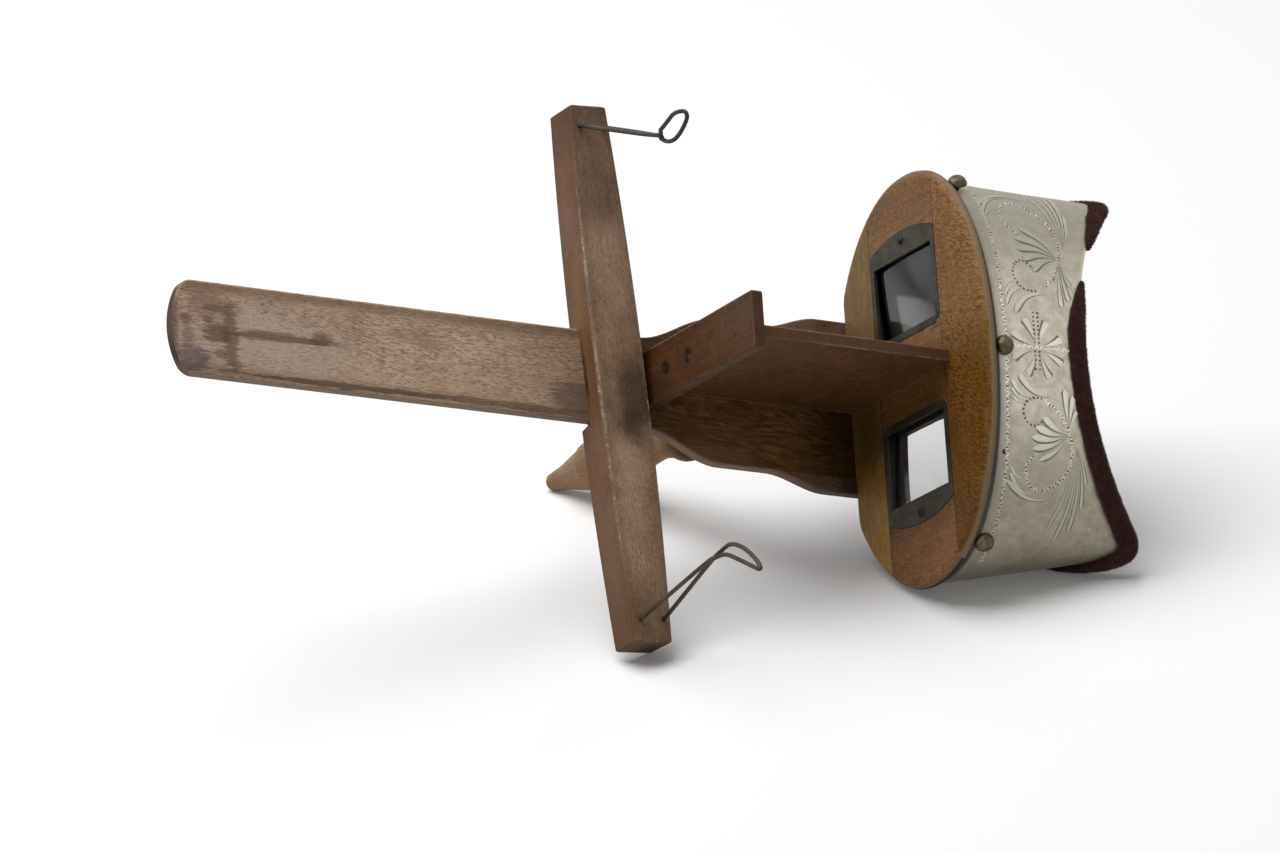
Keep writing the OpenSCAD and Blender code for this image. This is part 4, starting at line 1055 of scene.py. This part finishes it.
velvet = {
    "flap": 5.0, "beyond": 2.4, "worn": 1.5, "full": 3.8, "under": 1.9, "gap": 0.45, "pocket": 0.4,
    "thickenFrom": 95, "thickenOver": 70, "crestAt": 0.62, "edge": 0.55, "swell": 0.6,
    "foot": 4, "torn": (49, 69), "around": 40, "step": 0.55, "walk": 0.1,
    "frayed": 0.4, "thinOver": 0.55, "thinLeast": 1.2, "flare": 0.75, "thinnest": 0.12,  # towards a torn end
    "crestLeast": 0.45, "puffShare": (0.4, 0.2), "crestPuff": 0.1, "frayFrom": 2, "crestFray": 0.3,
}
tornEnds = {  # how far past the tear, over what length, how wide at the tip, and how much wider further in
    "near": {"past": 2.4, "length": 19, "tip": 0.10, "more": 0.9},
    "far": {"past": 3.6, "length": 12, "tip": 0.06, "more": 0.5},
}
clothNoise = {  # scale per millimetre, how much, and where in the noise
    "broad": (0.21, 0.32, (1, 5, 2)), "small": (0.75, 0.16, (0, 0, 0)), "slow": (0.09, 0.12, (0, 0, 0)),
    "edge": (0.4, 0.55, (9, 0, 0)), "thread": (1.3, 0.25, (0, 0, 0)),
}
pileSizes = {  # metres, fibres per square metre, and the lean in radians
    "Density": 5.5e6, "Length": 0.00055, "Radius": 0.00009, "Lean": 0.6, "Seed": 6,
}


def rimMid(angle):
    return hoodPoint(angle, rimDepth(angle), hood["sheet"] / 2)


def velvetOut(angle):
    share = ease((angle - velvet["thickenFrom"]) / velvet["thickenOver"])
    return velvet["worn"] + (velvet["full"] - velvet["worn"]) * share


def velvetSide(t, reach):  # t 0 at the flap's edge, 1 at the crest beyond the rim
    crestAt, edge = velvet["crestAt"], velvet["edge"]
    if t < crestAt:
        s = t / crestAt
        return -velvet["flap"] * (1 - s), reach * (edge + (1 - edge) * s ** velvet["swell"])
    s = (t - crestAt) / (1 - crestAt) * pi / 2
    return velvet["beyond"] * sin(s), reach * cos(s)


def velvetSection(out):  # closed: round the outside, then back along the slot for the sheet
    outer = []
    for i in range(velvet["around"]):
        t = 2 * i / (velvet["around"] - 1)
        u, v = velvetSide(t, out) if t <= 1 else velvetSide(2 - t, velvet["under"])
        outer.append((u, v if t <= 1 else -v))
    slot = [-velvet["flap"], -velvet["flap"] * 0.5, velvet["pocket"]]
    return outer, [(u, -velvet["gap"]) for u in slot] + [(u, velvet["gap"]) for u in slot[::-1]]


def velvetAxes(angle):  # along the sheet towards the rim, and out from it
    ahead = (rimMid(angle + 0.5) - rimMid(angle - 0.5)).normalized()
    line = (hoodPoint(angle, rimDepth(angle)) - hoodPoint(angle, rimDepth(angle) - 1)).normalized()
    return line / line.cross(ahead).length, ahead.cross(line).normalized()


def velvetStations(start, end):  # angles at even steps along the rim, and how far along each one is
    angles, last, length, angle = [start], rimMid(start), 0.0, start
    while angle < end:
        angle = min(end, angle + velvet["walk"])
        length += (rimMid(angle) - last).length
        last = rimMid(angle)
        if length >= velvet["step"] or angle == end:
            angles.append(angle)
            length = 0.0
    travelled = [0.0]
    for before, here in zip(angles, angles[1:]):
        travelled.append(travelled[-1] + (rimMid(here) - rimMid(before)).length)
    return angles, travelled


def tornShares(away, torn):  # how thick and how wide the binding is this far from an end, torn or whole
    length = torn["length"] if torn else 0
    share = (away + velvet["frayed"]) / (length * velvet["thinOver"] + velvet["thinLeast"])
    thin = min(1, share) ** velvet["swell"]
    return thin, min(1, torn["tip"] + torn["more"] * (away / length) ** velvet["flare"]) if torn else 1


def unevenness(kind, spot):
    scale, amount, shift = clothNoise[kind]
    return amount * noise.noise(spot * scale + Vector(shift))


def velvetOutside(u, v, centre, line, out, thin, flap):  # a point of the cloth's uneven outside
    u = u * flap if u < 0 else u * (velvet["crestLeast"] + (1 - velvet["crestLeast"]) * thin)
    spot = centre + line * u + out * v
    puff = unevenness("broad", spot) + unevenness("small", spot)
    puffed = puff * (velvet["puffShare"][0] + velvet["puffShare"][1] * abs(v)) * thin
    thick = max(velvet["thinnest"], (abs(v) - velvet["gap"]) * thin * (1 + unevenness("slow", spot)) + puffed)
    fray = unevenness("edge", spot) + unevenness("thread", spot)
    ragged = u + fray * (1 if u < -velvet["frayFrom"] * flap else velvet["crestFray"]) * thin
    rise = v * thin * (1 + velvet["crestPuff"] * puff)
    if u < velvet["pocket"]:
        rise = (1 if v >= 0 else -1) * (velvet["gap"] + thick)
    return centre + line * ragged + out * rise


def velvetRun(name, start, end, tornStart, tornEnd, material):
    angles, travelled = velvetStations(start, end)
    points, ring, kept = [], 0, 0
    for angle, run in zip(angles, travelled):
        centre = rimMid(angle)
        line, out = velvetAxes(angle)
        startThin, startFlap = tornShares(run, tornStart)
        endThin, endFlap = tornShares(travelled[-1] - run, tornEnd)
        thin, flap = startThin * endThin, min(startFlap, endFlap)
        outer, slot = velvetSection(velvetOut(angle))
        points += [velvetOutside(u, v, centre, line, out, thin, flap) for u, v in outer]
        points += [centre + line * (u * flap if u < 0 else u) + out * v for u, v in slot]
        ring, kept = len(outer) + len(slot), len(outer) - 1
    faces = tubeFaces(len(angles), ring)
    outside = [index % ring < kept for index in range(len(faces) - 2)] + [True, True]
    mesh = newMesh(name, [place(point) for point in points], faces, material)
    mesh.attributes.new("outside", "BOOLEAN", "FACE").data.foreach_set("value", outside)
    faceOutwards(mesh)
    return newObject(name, mesh)


def velvetCloth():
    paint = Paint("velvetCloth")
    at = paint.seat()
    pile = paint.noise(at, 3.2, 4, 0.7, 81)
    nap = paint.noise(at, 0.35, 4, 0.6, 82)
    wear = paint.noise(at, 0.16, 4, 0.6, 83).rise(0.5, 0.68)
    paint.colour = paint.ramp(nap * 0.6 + pile * 0.4, [
        (0.3, (0.010, 0.005, 0.0045)), (0.52, (0.034, 0.015, 0.0135)), (0.75, (0.09, 0.037, 0.032)),
    ])
    paint.lay(wear * 0.45, (0.06, 0.03, 0.02))
    return paint.finish(rough=0.92 - pile * 0.1, normal=paint.bump(pile + nap * 0.5, 0.35, 0.9),
                        sheen=0.25, sheenRough=0.4, sheenTint=(0.6, 0.3, 0.26), specular=0.1)


def pileFibre():
    paint = Paint("pileFibre")
    tone = paint.noise(paint.seat(), 0.5, 3, 0.6, 84)
    paint.colour = paint.mix(tone.rise(0.35, 0.65), (0.038, 0.017, 0.015), (0.125, 0.05, 0.043))
    return paint.finish(rough=0.85, sheen=0.3, sheenTint=(0.65, 0.32, 0.28), specular=0.1)


def pileOnFaces():
    tree = Growth("pileOnFaces", {
        "Density": "Float", "Length": "Float", "Radius": "Float", "Lean": "Float",
        "Seed": "Int", "Finish": "Material",
    })
    spots = tree.add("GeometryNodeDistributePointsOnFaces", values={
        "Mesh": tree.given("Geometry"), "Selection": tree.attribute("outside", "BOOLEAN"),
        "Density": tree.given("Density"), "Seed": tree.given("Seed"),
    })
    lean, spin = tree.given("Lean"), 3.1
    tilt = tree.chance(tree.join(-lean, -lean, -spin), tree.join(lean, lean, spin), "FLOAT_VECTOR")
    tilt = tree.add("FunctionNodeEulerToRotation", values={0: tilt})
    pile = tree.add("GeometryNodeInstanceOnPoints", values={
        "Points": spots,
        "Instance": tree.cone(3, tree.given("Radius"), tree.given("Length")),
        "Rotation": tree.turned(spots.out("Rotation"), tilt),
        "Scale": tree.chance(0.6, 1.3),
    })
    both = tree.add("GeometryNodeJoinGeometry")
    for part in (tree.given("Geometry"), tree.real(pile)):
        tree.group.links.new(part.socket, both.socket.node.inputs[0])
    return tree.close(both)


velvetPaint, fibrePaint = velvetCloth(), pileFibre()
pileTree = pileOnFaces()
near, far = tornEnds["near"], tornEnds["far"]
for name, start, end, tornStart, tornEnd in [
    ("velvetNear", velvet["torn"][1] - near["past"], 180 + footAngle - velvet["foot"], near, None),
    ("velvetFar", velvet["foot"] - footAngle, velvet["torn"][0] + far["past"], None, far),
]:
    piece = velvetRun(name, start, end, tornStart, tornEnd, velvetPaint)
    pileTree.grow(piece, {**pileSizes, "Finish": fibrePaint})
    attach(piece, "viewer")
    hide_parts("hood_velvet")
    print(name, len(piece.data.polygons), "faces")
print("velvet done")


# Nails and wire clips

nail = {
    "radius": 3.5, "height": 3.0, "shank": 0.8, "length": 7, "depth": 7.65, "around": 28, "beaten": 0.012,
    "dome": [(0, 1), (0.3, 0.99), (0.58, 0.88), (0.8, 0.67), (0.94, 0.38), (1.0, 0.12)],  # shares of both
    "under": [(1.0, 0.04), (0.9, 0.02), (0.3, 0.3)],  # share of the radius, height
    "angles": (-45, 28, 90, 152, 225), "loose": 28, "proud": 1.6, "tilt": 0.35,
}


def nailMesh(material):
    shank = nail["shank"] / nail["radius"]
    profile = [(share, nail["height"] * rise) for share, rise in nail["dome"]] + nail["under"]
    profile += [(shank, 0.25), (shank, -nail["length"] + 1), (0, -nail["length"])]
    points = []
    for share, height in profile:
        for k in range(nail["around"]):
            way = 2 * pi * k / nail["around"]
            radius = share * nail["radius"] * (1 + nail["beaten"] * sin(3 * way + height))
            points.append(Vector((radius * cos(way), radius * sin(way), height)) / 1000)
    mesh = newMesh("nail", points, gridFaces(len(profile), nail["around"], True), material)
    faceOutwards(mesh, 1e-6)
    return mesh


def copiesOnPoints():
    tree = Growth("copiesOnPoints", {"Copy": "Object", "Finish": "Material"})
    shape = tree.add("GeometryNodeObjectInfo", values={"Object": tree.given("Copy")}, output="Geometry")
    return tree.close(tree.real(tree.add("GeometryNodeInstanceOnPoints", values={
        "Points": tree.given("Geometry"), "Instance": shape, "Rotation": tree.standing((0.3, 0.2, 1.0)),
    })))


nailCopy = newObject("nailCopy", nailMesh(metals["nailMetal"]))
spots, ways = [], []
for angle in nail["angles"]:
    spot, way = hoodPoint(angle, nail["depth"]), hoodNormal(angle, nail["depth"])
    if angle == nail["loose"]:
        spot = spot + way * nail["proud"]
        way = (way + Vector((0, nail["tilt"], 0))).normalized()
    spots.append(spot)
    ways.append(way)
nails = newObject("hoodNails", uprightPoints("nailSpots", spots, ways))
copiesOnPoints().grow(nails, {"Copy": nailCopy, "Finish": metals["nailMetal"]})
nails.data.shade_smooth()
bpy.data.objects.remove(nailCopy)
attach(nails, "viewer")
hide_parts("hood_nails")

clip = {
    "thick": 1.5, "reach": 87.9, "feet": 9, "up": 8.4, "gap": 0.8, "around": 14, "steps": 12,
    "foot": (-7.7, -2, 1),  # heights on the foot, the first near the bottom of its hole
    "right": {  # (out, up) from the foot: where the strands cross, up the outer one, and down the inner one
        "meet": (-16.4, 39.6), "tip": (-14.6, 59.2), "outer": [(-16.2, 45), (-15, 49.4), (-13.8, 54.4)],
        "inner": [(-16.8, 59.4), (-19.9, 55.2), (-21.4, 50.3), (-20.7, 45.8), (-18.4, 42)],
    },
    "left": {
        "meet": (-8.4, 37.4), "tip": (1.8, 69), "outer": [(-8.8, 44), (-8, 51.6), (-3.6, 60)],
        "inner": [(-1.4, 67.2), (-7.6, 60.6), (-11.2, 53), (-10.6, 46)],
    },
}


def wireClip(name, side, bends, node):
    def at(spot, aside):
        return Vector((clip["reach"] + spot[0], aside, clip["up"] + spot[1]))

    foot = [at((0, z), clip["feet"] / 2) for z in clip["foot"]]
    line = foot + [at(spot, clip["gap"]) for spot in [bends["meet"]] + bends["outer"]] + [at(bends["tip"], 0)]
    line += [at(spot, -clip["gap"]) for spot in bends["inner"] + [bends["meet"]]]
    line += [Vector((spot.x, -spot.y, spot.z)) for spot in foot[::-1]]
    rows, start = holderSeat
    unturn = rows.transposed()
    line = [
        start + unturn @ Vector((spot.x * side, spot.y, spot.z)) / 1000
        for spot in throughPoints(line, clip["steps"])
    ]
    points, last = [], len(line) - 1
    level = unturn @ Vector((0, 1, 0.1))
    for i, spot in enumerate(line):
        ahead = (line[min(last, i + 1)] - line[max(0, i - 1)]).normalized()
        first = (level - ahead * level.dot(ahead)).normalized()
        second = ahead.cross(first)
        for k in range(clip["around"]):
            way = 2 * pi * k / clip["around"]
            points.append(spot + (first * cos(way) + second * sin(way)) * clip["thick"] / 2000)
    mesh = newMesh(name, points, tubeFaces(len(line), clip["around"]), metals["wireMetal"])
    faceOutwards(mesh)
    piece = newObject(name, mesh)
    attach(piece, "card_holder")
    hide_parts(node)


wireClip("wireRight", 1, clip["right"], "card_clip_right")
wireClip("wireLeft", -1, clip["left"], "card_clip_left")
print("nails and clips done")


# Lenses

def lensGlass(name, tint, haze):
    paint = Paint(name)
    at = paint.seat()
    smear = paint.noise(at, 0.08, 4, 0.6, 91)
    dust = paint.noise(at, 1.3, 3, 0.7, 92).rise(0.62, 0.75)
    ground = 1 - paint.split(paint.normal())[1].size().rise(0.4, 0.7)  # the blackened edge
    paint.colour = paint.mix(dust * 0.25, tint, (0.5, 0.48, 0.43))
    paint.lay(ground, (0.01, 0.01, 0.009))
    rough = haze + smear * haze * 2 + dust * 0.15 + ground * 0.4
    return paint.finish(rough=rough, metal=ground, clear=1.0, ior=1.52)


for node, name, tint, haze in [
    ("lens_left", "lensLeftGlass", (0.95, 0.95, 0.95), 0.02),
    # The right lens's glass is tinted dark: painted shade, so that the view through it stays dark
    ("lens_right", "lensRightGlass", (0.13, 0.135, 0.125), 0.05),
]:
    paintNode(node, lensGlass(name, tint, haze))
print("lenses done")


# Floor, light and camera

studio = {
    "floorHalf": 8, "floorGlow": 0.08, "sky": 0.16,
    "lampAt": (-0.5, 0.5, 2.2), "lampSize": 2.2, "lampPower": 61.5,
}


def seenShare(tree):  # 1 where the camera sees it, directly, in a reflection or through glass
    path = tree.add("ShaderNodeLightPath")
    return (path + path.out("Is Glossy Ray") + path.out("Is Transmission Ray")).least(1)


def floorPaint():
    paint = Paint("floorPaint")
    plain = paint.add("ShaderNodeBsdfDiffuse", values={"Color": (0.93, 0.93, 0.93)})
    glow = paint.add("ShaderNodeEmission", values={
        "Color": (1, 1, 1), "Strength": seenShare(paint) * studio["floorGlow"],
    })
    both = paint.add("ShaderNodeAddShader", values={0: plain, 1: glow})
    paint.add("ShaderNodeOutputMaterial", values={0: both})
    return paint.material


half = studio["floorHalf"]
floorCorners = [(-half, -half, 0), (half, -half, 0), (half, half, 0), (-half, half, 0)]
floor = newObject("floor", newMesh("floor", floorCorners, [(0, 1, 2, 3)], floorPaint()))

world = bpy.data.worlds.new("studio")
world.use_nodes = True
scene.world = world
sky = Tree(world.node_tree)
air = sky.add("ShaderNodeBackground", values={
    "Color": (1, 1, 1), "Strength": studio["sky"] + seenShare(sky) * (1 - studio["sky"]),
})
sky.add("ShaderNodeOutputWorld", values={0: air})

lampData = bpy.data.lights.new("softBox", "AREA")
lampData.shape = "SQUARE"
lampData.size = studio["lampSize"]
lampData.energy = studio["lampPower"]
lamp = newObject("softBox", lampData)
lamp.location = studio["lampAt"]
lamp.rotation_euler = (-Vector(studio["lampAt"])).to_track_quat("-Z", "Y").to_euler()

# The camera stands in the instrument's frame, so it follows however the instrument is laid down
eye = {
    "at": (-674.287, 1186.412, 1781.371), "right": (-0.05992, -0.85925, 0.50803),
    "down": (-0.95209, -0.1037, -0.2877), "forward": (0.29989, -0.50093, -0.81187),
    "lens": 180, "sensor": 36, "near": 0.05, "far": 40,
}
camData = bpy.data.cameras.new("camera")
camData.lens = eye["lens"]
camData.sensor_width = eye["sensor"]
camData.sensor_fit = "HORIZONTAL"
camData.clip_start = eye["near"]
camData.clip_end = eye["far"]
camera = newObject("camera", camData)
axes = [back @ Vector(eye["right"]), back @ -Vector(eye["down"]), back @ -Vector(eye["forward"])]
camera.matrix_world = Matrix.Translation(place(eye["at"])) @ Matrix(axes).transposed().to_4x4()
scene.camera = camera

scene.view_settings.view_transform = "Standard"

bpy.context.view_layer.update()
